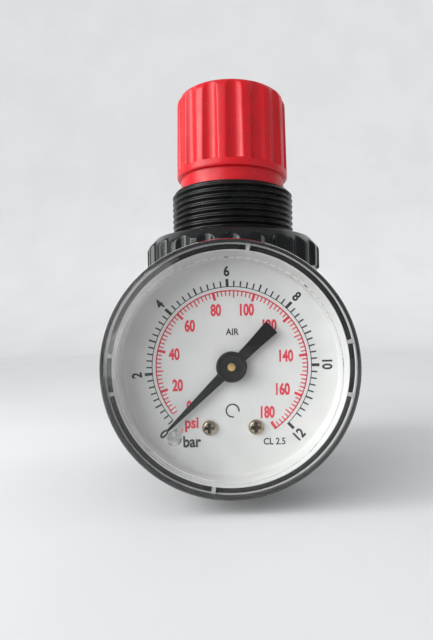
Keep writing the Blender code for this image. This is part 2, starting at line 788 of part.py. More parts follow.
def bonnet_outline():
    """The turned outline of the bonnet, down its outside and up its inside."""
    skirt_bore = SPIGOT_R + GAP
    pocket = KNOB_NECK_R + GAP
    outside = [
        (BONNET_RIM_R, BONNET_TOP),
        *thread_outline(),
        (THREAD_ROOT_R, BONNET_SHOULDER + THREAD_LAND),
        (THREAD_R, BONNET_SHOULDER + THREAD_LAND),
        (THREAD_R, BONNET_SHOULDER),
        (BONNET_SKIRT_R - SKIRT_CHAMFER, BONNET_SHOULDER),
        (BONNET_SKIRT_R, BONNET_SHOULDER - SKIRT_CHAMFER),
        (BONNET_SKIRT_R, BONNET_LOW),
    ]
    inside = [
        (skirt_bore, BONNET_LOW),
        (skirt_bore, CLAMP_HEIGHT),
        (SPRING_CHAMBER_R, CLAMP_HEIGHT),
        (SPRING_CHAMBER_R, WEB_LOW),
        (NECK_R + GAP, WEB_LOW),
        (NECK_R + GAP, WEB_TOP),
        (pocket, WEB_TOP),
        (pocket, BONNET_TOP),
    ]
    return outside + inside


def lock_teeth(width, low, high, inner, outer):
    """The ring of lock teeth, or of the slots that take them."""
    tooth = box("tooth", (inner, -width / 2, low), (outer, width / 2, high))
    return around("lock_teeth", tooth, LOCK_TEETH)


def make_bonnet():
    """The bonnet: thread, spanner flats, keyways, lock teeth and vent."""
    bonnet = turned("bonnet", bonnet_outline(), ring=True)
    half, far = BONNET_FLATS / 2, BONNET_SKIRT_R + OVER
    flat = box("flat", (half, -far, BONNET_LOW - OVER), (far, far, BONNET_SHOULDER + CLOSE))
    flats = around("flats", flat, 6, first=math.pi / 6)
    key = (KEY_WIDTH + 2 * GAP) / 2
    key_top = SEAT_NUT_TOP + KEYWAY_ROOM
    keyways = box("keyways", (-KEYWAY_R, -key, CLAMP_HEIGHT - OVER), (KEYWAY_R, key, key_top))
    vent = drum("vent", VENT_R, SPRING_CHAMBER_R - OVER, BONNET_SKIRT_R + OVER, 10)
    sideways(vent, math.pi / 2)
    vent.location.z = BONNET_SHOULDER - VENT_DROP
    teeth = lock_teeth(
        LOCK_TOOTH_WIDTH, WEB_TOP - OVER, WEB_TOP + LOCK_TOOTH, KNOB_BORE_R + GAP, KNOB_NECK_R - SLIP
    )
    finish(cut(add(bonnet, teeth), flats, keyways, vent), BLACK_NYLON)


def make_adjusting_screw():
    """The screw that the knob turns, with its collar and clip groove."""
    clip_top = CLIP_LOW + CLIP_THICK
    groove_r = NECK_R - CLIP_GROOVE
    outline = [
        (0, SCREW_HEX_LOW + OVER),
        (groove_r, SCREW_HEX_LOW + OVER),
        (groove_r, clip_top + CLOSE),
        (groove_r, CLIP_LOW - CLOSE),
        (NECK_R, CLIP_LOW - CLOSE),
        (NECK_R, COLLAR_TOP),
        (COLLAR_R, COLLAR_TOP),
        (COLLAR_R, COLLAR_LOW),
        (SCREW_R, COLLAR_LOW),
        (SCREW_R, SCREW_END + SCREW_POINT),
        (SCREW_R - SCREW_POINT, SCREW_END),
        (0, SCREW_END),
    ]
    screw = turned("adjusting_screw", outline, steps=20)
    add(screw, hexagon("screw_hex", SCREW_HEX_FLATS, clip_top + SLIP, SCREW_TOP))
    finish(screw, STEEL)
    inner, slot = groove_r + FIT, math.radians(28)
    angles = [slot + (2 * math.pi - 2 * slot) * k / 18 for k in range(19)]
    ring = [(CLIP_R * math.cos(a), CLIP_R * math.sin(a)) for a in angles]
    ring += [(inner * math.cos(a), inner * math.sin(a)) for a in reversed(angles)]
    finish(plate("screw_clip", [ring], CLIP_LOW, clip_top), STEEL)


def make_spring_seat():
    """The keyed nut that runs down the adjusting screw and presses on the range spring."""
    seat = drum("spring_seat", SEAT_NUT_R, SEAT_NUT_LOW, SEAT_NUT_TOP, 28)
    boss = drum("seat_boss", SEAT_NUT_BOSS_R, SEAT_NUT_LOW - SEAT_NUT_BOSS, SEAT_NUT_LOW + OVER)
    half = KEY_WIDTH / 2
    keys = box(
        "seat_keys", (-KEY_R, -half, SEAT_NUT_LOW), (KEY_R, half, SEAT_NUT_TOP - SLIP)
    )
    hole = drum(
        "seat_hole", SCREW_R + SLIP, SEAT_NUT_LOW - SEAT_NUT_BOSS - OVER, SEAT_NUT_TOP + OVER
    )
    finish(cut(add(seat, boss, keys), hole), ACETAL)


def make_range_spring():
    """The spring that sets the outlet pressure."""
    low, high = PLATE_TOP + FIT, SEAT_NUT_LOW - FIT
    finish(coil("range_spring", RANGE_SPRING_R, RANGE_WIRE, low, high, RANGE_TURNS), STEEL)


def knob_outline():
    """The turned outline of the knob, from the middle of its top to the middle of its boss."""
    shoulder = [
        (
            KNOB_TOP_R - KNOB_SHOULDER * (1 - math.sin(a)),
            KNOB_TOP - KNOB_SHOULDER * (1 - math.cos(a)),
        )
        for a in (0, math.radians(30), math.radians(60), math.radians(90))
    ]
    return [
        (0, KNOB_TOP),
        *shoulder,
        (KNOB_SKIRT_R, KNOB_SKIRT_TOP),
        (KNOB_SKIRT_R, KNOB_SKIRT_LOW + SKIRT_BEVEL),
        (KNOB_SKIRT_R - SKIRT_BEVEL, KNOB_SKIRT_LOW),
        (KNOB_NECK_R, KNOB_SKIRT_LOW),
        (KNOB_NECK_R, KNOB_NECK_LOW),
        (KNOB_BORE_R, KNOB_NECK_LOW),
        (KNOB_BORE_R, KNOB_TOP - KNOB_CROWN),
        (KNOB_BOSS_R, KNOB_TOP - KNOB_CROWN),
        (KNOB_BOSS_R, KNOB_BOSS_LOW),
        (0, KNOB_BOSS_LOW),
    ]


def make_knob():
    """The knob: flutes, lock slots and hexagonal socket."""
    knob = turned("knob", knob_outline(), steps=32)
    flute = drum("flute", FLUTE_R, KNOB_SKIRT_TOP, KNOB_TOP + OVER, 12)
    reach = KNOB_SKIRT_R - FLUTE_DEPTH + FLUTE_R
    flutes = around("flutes", flute, KNOB_FLUTES, reach, FLUTE_START)
    slot_width = LOCK_TOOTH_WIDTH + 2 * GAP
    slots = lock_teeth(
        slot_width, KNOB_NECK_LOW - OVER, KNOB_NECK_LOW + LOCK_SLOT, KNOB_BORE_R - OVER, KNOB_NECK_R + OVER
    )
    hexagonal = SCREW_HEX_FLATS + 2 * SLIP
    socket = hexagon("socket", hexagonal, KNOB_BOSS_LOW - OVER, KNOB_BOSS_LOW + KNOB_SOCKET)
    finish(cut(knob, flutes, slots, socket), RED_PLASTIC)


def make_panel_nut():
    """The scalloped ring nut on the bonnet's thread."""
    bore = THREAD_R + GAP
    outline = [
        (bore, NUT_TOP),
        (NUT_TOP_R, NUT_TOP),
        (NUT_R, NUT_TOP - NUT_SHOULDER),
        (NUT_R, NUT_LOW + NUT_CHAMFER),
        (NUT_R - NUT_CHAMFER, NUT_LOW),
        (bore, NUT_LOW),
    ]
    nut = turned("panel_nut", outline, ring=True, steps=48)
    scallop = drum("scallop", SCALLOP_R, NUT_LOW - OVER, NUT_TOP + OVER, 14)
    reach = NUT_R - SCALLOP_DEPTH + SCALLOP_R
    scallops = around("scallops", scallop, NUT_SCALLOPS, reach)
    finish(cut(nut, scallops), BLACK_NYLON)


# Gauge. Its pieces are drawn flat, x to the right, y up and z towards the viewer.


def gauge_frame():
    """The gauge's own axes: +Z forward out of the dial, the origin on the knob's axis."""
    frame = bpy.data.objects.new("gauge_frame", None)
    PARTS.objects.link(frame)
    frame.location = (0, 0, PORT_HEIGHT)
    frame.rotation_euler = (math.pi / 2, 0, 0)
    return frame


def make_socket(frame):
    """The brass socket: threaded shank, hexagon, mounting plate and tube root."""
    outline = [
        (0, SOCKET_PLATE_FRONT),
        (SOCKET_PLATE_R, SOCKET_PLATE_FRONT),
        (SOCKET_PLATE_R, SOCKET_PLATE_BACK),
        (SOCKET_NECK_R, SOCKET_PLATE_BACK),
        (SOCKET_NECK_R, HEX_BACK + OVER),
        (SHANK_R, HEX_BACK + OVER),
        (SHANK_R, SHANK_END),
        (0, SHANK_END),
    ]
    socket = turned("gauge_socket", outline, steps=28)
    socket.parent = frame
    half = ROOT_WIDTH / 2
    strip = box(
        "root_strip", (-half, -ROOT_LOW, SOCKET_PLATE_BACK), (half, -PLATE_HIGH, SOCKET_PLATE_FRONT)
    )
    root = box("root", (-half, -ROOT_LOW, SOCKET_PLATE_BACK), (half, -ROOT_TOP, ROOT_FRONT))
    low = SIDE_REACH - SIDE_PORT_DEPTH
    bore = drum("socket_bore", SOCKET_BORE, low, HEX_FRONT + OVER, 10)
    holes = drum("case_screw_hole", CASE_SHANK_R + FIT, CASE_BACK, SOCKET_PLATE_FRONT + OVER, 12)
    holes = around("case_screw_holes", holes, 2, CASE_SCREW_X)
    add(socket, hexagon("socket_hex", SOCKET_FLATS, HEX_BACK, HEX_FRONT), strip, root)
    finish(cut(socket, bore, holes), BRASS)
    bore = SHANK_R + FIT
    outline = [(bore, SEAL_FRONT), (SEAL_R, SEAL_FRONT), (SEAL_R, SEAL_BACK), (bore, SEAL_BACK)]
    finish(turned("gauge_seal", outline, ring=True, steps=24), RUBBER, frame)


def make_case(frame):
    """The cup that holds the movement and the dial, and its two screws."""
    ledge = DIAL_BACK - SLIP
    bore = DIAL_R + 2 * SLIP
    outline = [
        (bore, CASE_FRONT),
        (CASE_R, CASE_FRONT),
        (CASE_R, CASE_BACK + CASE_CHAMFER),
        (CASE_R - CASE_CHAMFER, CASE_BACK),
        (SOCKET_NECK_R + GAP, CASE_BACK),
        (SOCKET_NECK_R + GAP, CASE_FLOOR),
        (CASE_LEDGE_R, CASE_FLOOR),
        (CASE_LEDGE_R, ledge),
        (bore, ledge),
    ]
    case = turned("gauge_case", outline, ring=True)
    case.parent = frame
    hole = drum("case_hole", CASE_SHANK_R + FIT, CASE_BACK - OVER, CASE_FLOOR + OVER, 12)
    finish(cut(case, around("case_holes", hole, 2, CASE_SCREW_X)), BLACK_NYLON)
    head = CASE_BACK - CLOSE
    for side, name in ((-1, "case_screw_left"), (1, "case_screw_right")):
        outline = [
            (0, SOCKET_PLATE_FRONT - SLIP),
            (CASE_SHANK_R, SOCKET_PLATE_FRONT - SLIP),
            (CASE_SHANK_R, head),
            (CASE_SCREW_R, head),
            (CASE_SCREW_R, head - HEAD_FLAT * CASE_SCREW_HEAD),
            (HEAD_FLAT * CASE_SCREW_R, head - CASE_SCREW_HEAD),
            (0, head - CASE_SCREW_HEAD),
        ]
        screw = finish(turned(name, outline, steps=14), STEEL, frame)
        screw.location.x = side * CASE_SCREW_X


def make_lens(frame):
    """The clear snap-on lens with its stepped rim and the pointer's stop pin."""
    inside = LENS_FRONT - LENS_THICK
    skirt = CASE_R + SLIP
    outline = [
        (0, LENS_FRONT),
        (LENS_FACE_R, LENS_FRONT),
        (LENS_FACE_R + GAP, LENS_FRONT - LENS_STEP),
        (LENS_R - LENS_SLOPE, LENS_FRONT - LENS_STEP - LENS_FALL),
        (LENS_R - GAP, LENS_RIM + LENS_ROUND),
        (LENS_R, LENS_RIM),
        (LENS_R, LENS_BACK),
        (skirt, LENS_BACK),
        (skirt, CASE_FRONT + GAP),
        (DIAL_R + SLIP, CASE_FRONT + GAP),
        (DIAL_R + SLIP, inside - LENS_LIP),
        (LENS_FACE_R - 2 * SLIP, inside),
        (0, inside),
    ]
    lens = turned("gauge_lens", outline, steps=36)
    lens.parent = frame
    tip = DIAL_FRONT + STOP_PIN_GAP
    pin = drum("stop_pin", STOP_PIN_TIP_R, tip, inside + LENS_THICK / 3, 14, STOP_PIN_ROOT_R)
    angle = ZERO_ANGLE - math.asin(STOP_PIN_ROOT_R / STOP_PIN_REACH)
    pin.location = (STOP_PIN_REACH * math.sin(angle), STOP_PIN_REACH * math.cos(angle), 0)
    finish(add(lens, pin), CLEAR)


def make_dial(frame):
    """The printed dial and its two cross-head screws."""
    screw_xy = [(side * DIAL_SCREW_X, -DIAL_SCREW_DROP) for side in (-1, 1)]
    holes = [circle(x, y, SMALL_SHANK_R + FIT, 12) for x, y in screw_xy]
    outlines = [circle(0, 0, DIAL_R, FACETS), circle(0, 0, 2 * ARBOR_NOSE_R), *holes]
    finish(plate("dial", outlines, DIAL_BACK, DIAL_FRONT), WHITE_PAINT, frame)
    low = DIAL_FRONT + CLOSE
    high = low + DIAL_SCREW_HEAD
    for (x, y), name in zip(screw_xy, ("dial_screw_left", "dial_screw_right")):
        outline = [
            (0, high),
            (HEAD_FLAT * DIAL_SCREW_R, high),
            (DIAL_SCREW_R, high - HEAD_FLAT * DIAL_SCREW_HEAD),
            (DIAL_SCREW_R, low),
            (SMALL_SHANK_R, low),
            (SMALL_SHANK_R, FRONT_PLATE),
            (0, FRONT_PLATE),
        ]
        screw = turned(name, outline, steps=14)
        screw.parent = frame
        screw.location = (x, y, 0)
        arm, half = RECESS_SHARE * DIAL_SCREW_R, RECESS_WIDTH / 2
        floor = high - 0.5 * DIAL_SCREW_HEAD
        across = box("recess", (-arm, -half, floor), (arm, half, high + OVER))
        down = box("recess", (-half, -arm, floor), (half, arm, high + OVER + CLOSE))
        recess = add(across, down)
        recess.location = (x, y, 0)
        down.location = (x, y, 0)
        down.parent = frame
        finish(cut(screw, recess), STEEL)


def make_pointer(frame):
    """The pointer, lying along +Y and turned to zero."""
    root, tip, tail = POINTER_ROOT_WIDTH / 2, POINTER_TIP_WIDTH / 2, POINTER_TAIL_WIDTH / 2
    waist = tail * WAIST_SHARE
    blade = [
        (-root, 0),
        (-waist, -POINTER_TAIL * WAIST_AT),
        (-tail, -POINTER_TAIL),
        (tail, -POINTER_TAIL),
        (waist, -POINTER_TAIL * WAIST_AT),
        (root, 0),
        (root, POINTER_HUB_R),
        (tip, POINTER_TIP - tip),
        (0, POINTER_TIP),
        (-tip, POINTER_TIP - tip),
        (-root, POINTER_HUB_R),
    ]
    pointer = plate("pointer", [blade], POINTER_BACK, POINTER_BACK + POINTER_THICK)
    pointer.parent = frame
    hub = drum("hub", POINTER_HUB_R, POINTER_BACK - CLOSE, POINTER_FRONT, 24)
    dish = drum("dish", POINTER_HUB_R - POINTER_RIM, POINTER_FRONT - GAP, POINTER_FRONT + OVER, 24)
    bore = drum("pointer_bore", ARBOR_NOSE_R + CLOSE, DIAL_FRONT, POINTER_FRONT + OVER, 14)
    finish(cut(add(pointer, hub), dish, bore), BLACK_PAINT)
    pointer.rotation_euler.z = -ZERO_ANGLE


def tooth_outline(radius, teeth, first, angles):
    """Points along a run of straight-sided teeth, one tooth centred on each angle."""
    pitch = 2 * math.pi / teeth
    root, tip = radius - 1.2 * GEAR_MODULE, radius + 0.75 * GEAR_MODULE
    wide, narrow = (TOOTH_SHARE + 0.2) * pitch / 2, (TOOTH_SHARE - 0.16) * pitch / 2
    points = []
    for angle in angles:
        for offset, r in ((-wide, root), (-narrow, tip), (narrow, tip), (wide, root)):
            a = first + angle + offset
            points.append((r * math.cos(a), r * math.sin(a)))
    return points


def make_arbor(frame):
    """The pointer's arbor with its pinion."""
    back = SECTOR_BACK - GAP
    outline = [
        (0, POINTER_FRONT + GAP),
        (ARBOR_NOSE_R, POINTER_FRONT + SLIP),
        (ARBOR_NOSE_R, DIAL_FRONT),
        (ARBOR_R, DIAL_FRONT),
        (ARBOR_R, SOCKET_PLATE_FRONT + 2 * SLIP),
        (0, SOCKET_PLATE_FRONT + 2 * SLIP),
    ]
    arbor = turned("pointer_arbor", outline, steps=14)
    arbor.parent = frame
    angles = [2 * math.pi * k / PINION_TEETH for k in range(PINION_TEETH)]
    teeth = tooth_outline(PINION_R, PINION_TEETH, -math.pi / 2, angles)
    add(arbor, plate("pinion", [teeth], back, SECTOR_BACK + SECTOR_SHEET + SLIP))
    finish(arbor, BRASS)


def make_sector(frame):
    """The toothed sector, tilted to where the pointer reads zero, with its arbor and link pin."""
    pitch = 2 * math.pi / SECTOR_TEETH
    first = math.pi / 2 - SECTOR_TILT
    half = (SECTOR_CUT_TEETH - 1) / 2
    angles = [(k - half) * pitch for k in range(SECTOR_CUT_TEETH)]
    # A gap of the sector faces the pinion's tooth when the two are in mesh.
    shift = 0 if abs((SECTOR_TILT / pitch + half) % 1 - 0.5) < 0.1 else pitch / 2
    teeth = tooth_outline(SECTOR_R, SECTOR_TEETH, first + shift, angles)
    hub = SECTOR_HUB_R
    web = [
        (hub * math.cos(first + a), hub * math.sin(first + a))
        for a in (math.radians(80), math.radians(120))
    ]
    tail = [
        (TAIL_X + math.cos(a) * TAIL_R, -TAIL_DROP + math.sin(a) * TAIL_R)
        for a in (math.radians(200), math.radians(260), math.radians(320), math.radians(20))
    ]
    outline = teeth + web + tail
    sector = plate("sector_gear", [outline], SECTOR_BACK, SECTOR_BACK + SECTOR_SHEET)
    sector.parent = frame
    sector.location = (0, -SECTOR_DROP, 0)
    low, high = SOCKET_PLATE_FRONT + GAP + SLIP, FRONT_PLATE + MOVEMENT_SHEET + GAP
    arbor = drum("sector_arbor", PIVOT_R, low, high, 12)
    pin = drum("link_pin", PIN_R, LINK_BACK - CLOSE, SECTOR_BACK + GAP, 10)
    arbor.location = sector.location
    pin.location = (TAIL_X, -SECTOR_DROP - TAIL_DROP, 0)
    add(sector, arbor, pin)
    finish(sector, BRASS)


def make_link(frame):
    """The link from the sector's tail to the tip of the tube, its origin at the tail's pin."""
    start = (TAIL_X, -SECTOR_DROP - TAIL_DROP)
    end = (LUG_X, -TIP_DROP)
    dx, dy = end[0] - start[0], end[1] - start[1]
    length = math.hypot(dx, dy)
    half = LINK_WIDTH / 2
    sweep = [math.radians(-90 + 30 * k) for k in range(7)]
    outline = [(length + half * math.cos(a), half * math.sin(a)) for a in sweep]
    outline += [(-half * math.cos(a), -half * math.sin(a)) for a in sweep]
    holes = [circle(0, 0, PIN_R + FIT, 10), circle(length, 0, PIN_R + FIT, 10)]
    link = plate("sector_link", [outline, *holes], LINK_BACK, LINK_BACK + LINK_SHEET)
    link.location = (*start, 0)
    link.rotation_euler.z = math.atan2(dy, dx)
    finish(link, BRASS, frame)


def make_tube(frame):
    """The curved pressure tube and the piece that closes its tip."""
    steps = 22
    half = TUBE_THICK / 2
    angles = [TUBE_START + (TUBE_END - TUBE_START) * k / steps for k in range(steps + 1)]
    outer, inner = TUBE_R + half, TUBE_R - half
    outline = [(outer * math.cos(a), outer * math.sin(a)) for a in angles]
    outline += [(inner * math.cos(a), inner * math.sin(a)) for a in reversed(angles)]
    middle = (SOCKET_PLATE_BACK + ROOT_FRONT) / 2
    low, high = middle - TUBE_WIDTH / 2, middle + TUBE_WIDTH / 2
    finish(plate("pressure_tube", [outline], low, high), BRASS, frame)
    side = TIP_SIZE / 2
    tip = box(
        "tube_tip", (TUBE_R - side, -TIP_DROP - side, low), (TUBE_R + side, -TIP_DROP + side, high)
    )
    tip.parent = frame
    lug_half = TIP_LUG_WIDTH / 2
    lug = box(
        "lug",
        (LUG_X - lug_half, -TIP_DROP - lug_half, SECTOR_BACK),
        (TUBE_R, -TIP_DROP + lug_half, SECTOR_BACK + SECTOR_SHEET),
    )
    pin = drum("tip_pin", PIN_R, LINK_BACK - CLOSE, SECTOR_BACK + GAP, 10)
    pin.location = (LUG_X, -TIP_DROP, 0)
    finish(add(tip, lug, pin), BRASS)


def movement_outline():
    """The edge shared by the two movement plates, with cut corners."""
    w, h, d, c = PLATE_HALF_WIDTH, PLATE_HIGH, -PLATE_DROP, PLATE_CORNER
    right = [(w - c, d), (w, d + c), (w, h - c), (w - c, h)]
    return right + [(-x, y) for x, y in reversed(right)]


def make_movement(frame):
    """The two movement plates, with pillars on the back one, and the hairspring."""
    bearings = [circle(0, 0, ARBOR_R + FIT, 14), circle(0, -SECTOR_DROP, PIVOT_R + FIT, 12)]
    back = plate(
        "movement_back", [movement_outline(), *bearings], BACK_PLATE, BACK_PLATE + MOVEMENT_SHEET
    )
    back.parent = frame
    for x, y in ((-PILLAR_X, PILLAR_HIGH), (PILLAR_X, PILLAR_HIGH), (-PILLAR_X, -PILLAR_DROP)):
        pillar = drum("pillar", PILLAR_R, BACK_PLATE + SLIP, FRONT_PLATE - CLOSE, 10)
        pillar.location = (x, y, 0)
        add(back, pillar)
    finish(back, BRASS)
    holes = [
        circle(side * DIAL_SCREW_X, -DIAL_SCREW_DROP, SMALL_SHANK_R + FIT, 12) for side in (-1, 1)
    ]
    finish(
        plate(
            "movement_front",
            [movement_outline(), *bearings, *holes],
            FRONT_PLATE,
            FRONT_PLATE + MOVEMENT_SHEET,
        ),
        BRASS,
        frame,
    )
    inner = ARBOR_R + HAIRSPRING_WIRE + FIT
    height = FRONT_PLATE - 2 * HAIRSPRING_WIRE
    per_turn = 12
    points = []
    for step in range(HAIRSPRING_TURNS * per_turn + 1):
        angle = 2 * math.pi * step / per_turn
        radius = inner + (HAIRSPRING_R - inner) * step / (HAIRSPRING_TURNS * per_turn)
        points.append((radius * math.cos(angle), radius * math.sin(angle), height))
    finish(wire("hairspring", points, HAIRSPRING_WIRE, 0), STEEL, frame)


def make_rear_plug():
    """The plug that closes the spare port at the back, and its seal."""
    outline = [
        (0, SEAL_FRONT + SLIP + REAR_HEAD),
        (REAR_HEAD_R - REAR_CHAMFER, SEAL_FRONT + SLIP + REAR_HEAD),
        (REAR_HEAD_R, SEAL_FRONT + SLIP - REAR_CHAMFER + REAR_HEAD),
        (REAR_HEAD_R, SEAL_FRONT + SLIP),
        (SHANK_R, SEAL_FRONT + SLIP),
        (SHANK_R, SHANK_END),
        (0, SHANK_END),
    ]
    plug = sideways(turned("rear_plug", outline, steps=24), math.pi / 2)
    face = SEAL_FRONT + SLIP + REAR_HEAD
    recess = sideways(
        hexagon("rear_hex", REAR_HEX_FLATS, face - REAR_HEX_DEPTH, face + OVER), math.pi / 2
    )
    finish(cut(plug, recess), BRASS)
    outline = [
        (SHANK_R + FIT, SEAL_FRONT),
        (REAR_SEAL_R, SEAL_FRONT),
        (REAR_SEAL_R, SEAL_BACK),
        (SHANK_R + FIT, SEAL_BACK),
    ]
    seal = sideways(turned("rear_seal", outline, ring=True, steps=24), math.pi / 2)
    finish(seal, RUBBER)


clear_scene()
PARTS = new_collection("air_pressure_regulator")
CUTTERS = new_collection("cutters")
CUTTERS.hide_render = True
BLACK_PAINT = material("black_paint", (0.02, 0.02, 0.022), 0.45)
BLACK_NYLON = material("black_nylon", (0.012, 0.012, 0.014), 0.28)
RED_PLASTIC = material("red_plastic", (0.62, 0.03, 0.03), 0.35)
WHITE_PAINT = material("white_paint", (0.85, 0.86, 0.85), 0.5)
CLEAR = material("clear", (0.9, 0.92, 0.92), 0.05, alpha=0.25)
ACETAL = material("acetal", (0.8, 0.79, 0.75), 0.4)
RUBBER = material("rubber", (0.03, 0.03, 0.03), 0.8)
BRASS = material("brass", (0.72, 0.55, 0.28), 0.3, 1.0)
STEEL = material("steel", (0.6, 0.6, 0.6), 0.3, 1.0)

make_body()
make_bottom_plug()
make_valve()
make_diaphragm()
make_bonnet()
make_adjusting_screw()
make_spring_seat()
make_range_spring()
make_knob()
make_panel_nut()
make_rear_plug()
GAUGE = gauge_frame()
make_socket(GAUGE)
make_case(GAUGE)
make_lens(GAUGE)
make_dial(GAUGE)
make_pointer(GAUGE)
make_arbor(GAUGE)
make_sector(GAUGE)
make_link(GAUGE)
make_tube(GAUGE)
make_movement(GAUGE)
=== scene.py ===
# %% [markdown]
# # An air pressure regulator, finished piece by piece
#
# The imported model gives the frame: every solid of the regulator at its true place, on the body that it
# moves with. This lesson keeps that frame and gives it the look of the real thing. A piece that shows its
# shape closely, such as the fluted knob or the clear lens, is worked out again as a fine surface, and the
# parts deep inside keep their solid and get a proper finish.

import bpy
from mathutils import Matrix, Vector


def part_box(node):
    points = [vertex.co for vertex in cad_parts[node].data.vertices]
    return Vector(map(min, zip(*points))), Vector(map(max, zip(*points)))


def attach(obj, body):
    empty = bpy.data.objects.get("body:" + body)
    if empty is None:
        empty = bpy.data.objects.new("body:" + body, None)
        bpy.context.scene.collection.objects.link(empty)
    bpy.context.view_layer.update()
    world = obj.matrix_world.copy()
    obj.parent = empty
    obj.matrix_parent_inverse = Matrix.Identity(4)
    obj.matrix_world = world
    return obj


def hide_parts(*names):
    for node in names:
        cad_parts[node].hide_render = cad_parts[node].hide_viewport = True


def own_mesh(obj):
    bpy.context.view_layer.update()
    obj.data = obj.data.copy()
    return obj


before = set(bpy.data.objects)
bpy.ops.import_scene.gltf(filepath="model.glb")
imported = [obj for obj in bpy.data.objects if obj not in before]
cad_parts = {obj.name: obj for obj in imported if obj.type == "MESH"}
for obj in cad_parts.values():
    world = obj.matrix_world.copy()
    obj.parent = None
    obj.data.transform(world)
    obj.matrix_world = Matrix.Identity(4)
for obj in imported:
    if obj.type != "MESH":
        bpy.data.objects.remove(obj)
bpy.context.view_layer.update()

import math

import bmesh
import bpy
import numpy as np
from mathutils import Vector

MM = 0.001


# %% Sizes from the frame
def span(node):
    """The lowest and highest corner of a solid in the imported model, in millimetres."""
    return [np.array(corner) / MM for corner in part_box(node)]


(_, _, KNOB_LOW), (KNOB_R, _, KNOB_TOP) = span("knob")
(_, _, BONNET_LOW), (BONNET_R, _, BONNET_TOP) = span("bonnet")
(_, _, NUT_LOW), (NUT_R, _, NUT_TOP) = span("panel_nut")
(_, _, BODY_LOW), (PORT_REACH, SIDE_REACH, SPIGOT_TOP) = span("body")
GAUGE_HEIGHT = (span("gauge_case")[0][2] + span("gauge_case")[1][2]) / 2
CASE_R, CASE_FRONT, CASE_BACK = (
    span("gauge_case")[1][0], -span("gauge_case")[0][1], -span("gauge_case")[1][1]
)
LENS_R, LENS_FRONT, LENS_BACK = (
    span("gauge_lens")[1][0], -span("gauge_lens")[0][1], -span("gauge_lens")[1][1]
)
LENS_RIM = LENS_FRONT - 3.4
DIAL_FRONT = -span("dial")[0][1]
POINTER_FRONT = -span("pointer")[0][1]
for what, value in (("gauge axis", GAUGE_HEIGHT), ("dial front", DIAL_FRONT), ("lens front", LENS_FRONT)):
    print(what, round(value, 2))

# %% [markdown]
# ## Surfaces from a grid of points
#
# Nearly every piece here was turned on a lathe, or moulded in a tool that was. Such a piece is a profile
# carried round an axis, so its surface is a grid: rows run along the profile and columns run round the
# axis. numpy works out all the points at once, and one function turns any such grid into a mesh. Blender's
# Spin and Screw tools would make plain turned shapes as well, but here the radius may also change with
# the angle, which gives flutes, scallops, hexagons and threads in the same step.


# %% A mesh from a grid
def mesh_piece(name, points, faces):
    """A piece from its points in millimetres and its faces. Points that fall together are merged, which
    closes seams and poles, and the faces are then turned outwards. Edges over 40 degrees stay crisp."""
    mesh = bpy.data.meshes.new(name)
    mesh.from_pydata((np.asarray(points).reshape(-1, 3) * MM).tolist(), [], faces)
    bm = bmesh.new()
    bm.from_mesh(mesh)
    bmesh.ops.remove_doubles(bm, verts=bm.verts, dist=1e-7)
    bmesh.ops.recalc_face_normals(bm, faces=bm.faces)
    bm.to_mesh(mesh)
    bm.free()
    mesh.shade_smooth()
    mesh.set_sharp_from_angle(angle=math.radians(40))
    piece = bpy.data.objects.new(name, mesh)
    bpy.context.scene.collection.objects.link(piece)
    return piece


def grid_faces(rows, columns, ring=False, first=0):
    """The four-sided faces of a grid whose columns close round. A ring joins its last row to its first."""
    index = first + np.arange(rows * columns).reshape(rows, columns)
    near = index if ring else index[:-1]
    far = np.roll(index, -1, axis=0) if ring else index[1:]
    cells = np.stack([near, np.roll(near, -1, 1), np.roll(far, -1, 1), far], -1)
    return cells.reshape(-1, 4).tolist()


def around(columns):
    """Angles evenly spaced round a full turn."""
    return np.arange(columns) * 2 * np.pi / columns


# %% [markdown]
# ## Profiles with real corners
#
# No moulded or turned corner is perfectly sharp, and the small round on it is what catches the light. A
# profile is therefore given as corners, each with the distance over which it is rounded, and long straight
# runs are then cut into short steps so that a flute or a thread has points to bend.


# %% Rounded profiles
def rounded(corners, ring=False, steps=4):
    """Replaces each corner (radius, height, distance) by a quadratic curve that starts that distance before
    the corner and ends as far after it: (1-t)^2 before + 2t(1-t) corner + t^2 after."""
    c = np.array(corners, float)
    t = np.linspace(0, 1, steps + 1)[:, None]
    rows = []
    for k, (point, p, q) in enumerate(zip(c, np.roll(c, 1, axis=0), np.roll(c, -1, axis=0))):
        if point[2] == 0 or (not ring and k in (0, len(c) - 1)):
            rows.append(point[None, :2])
            continue
        a = point[:2] + (p[:2] - point[:2]) * point[2] / np.linalg.norm(p[:2] - point[:2])
        b = point[:2] + (q[:2] - point[:2]) * point[2] / np.linalg.norm(q[:2] - point[:2])
        rows.append((1 - t) ** 2 * a + 2 * t * (1 - t) * point[:2] + t**2 * b)
    return np.concatenate(rows)


def stepped(profile, step, ring=False):
    """Adds points along a profile so that no two neighbours are further apart than the step."""
    ends = np.roll(profile, -1, axis=0) if ring else profile[1:]
    starts = profile if ring else profile[:-1]
    counts = np.maximum(1, np.ceil(np.linalg.norm(ends - starts, axis=1) / step)).astype(int)
    rows = [a + (b - a) * np.arange(n)[:, None] / n for a, b, n in zip(starts, ends, counts)]
    return np.concatenate(rows + ([] if ring else [profile[-1:]]))


# %% [markdown]
# ## Directions to turn about
#
# The knob, bonnet and nut stand on the vertical axis. The gauge faces forward, so its pieces are worked
# out flat, as if lying on a bench, and laid onto the gauge's axis at the height of the ports. The ports
# and the rear plug are turned about that height too, to the right, the left and the back.


# %% Placing a piece
def upright(p):
    """Leaves the points as they are: the axis is the knob's."""
    return p


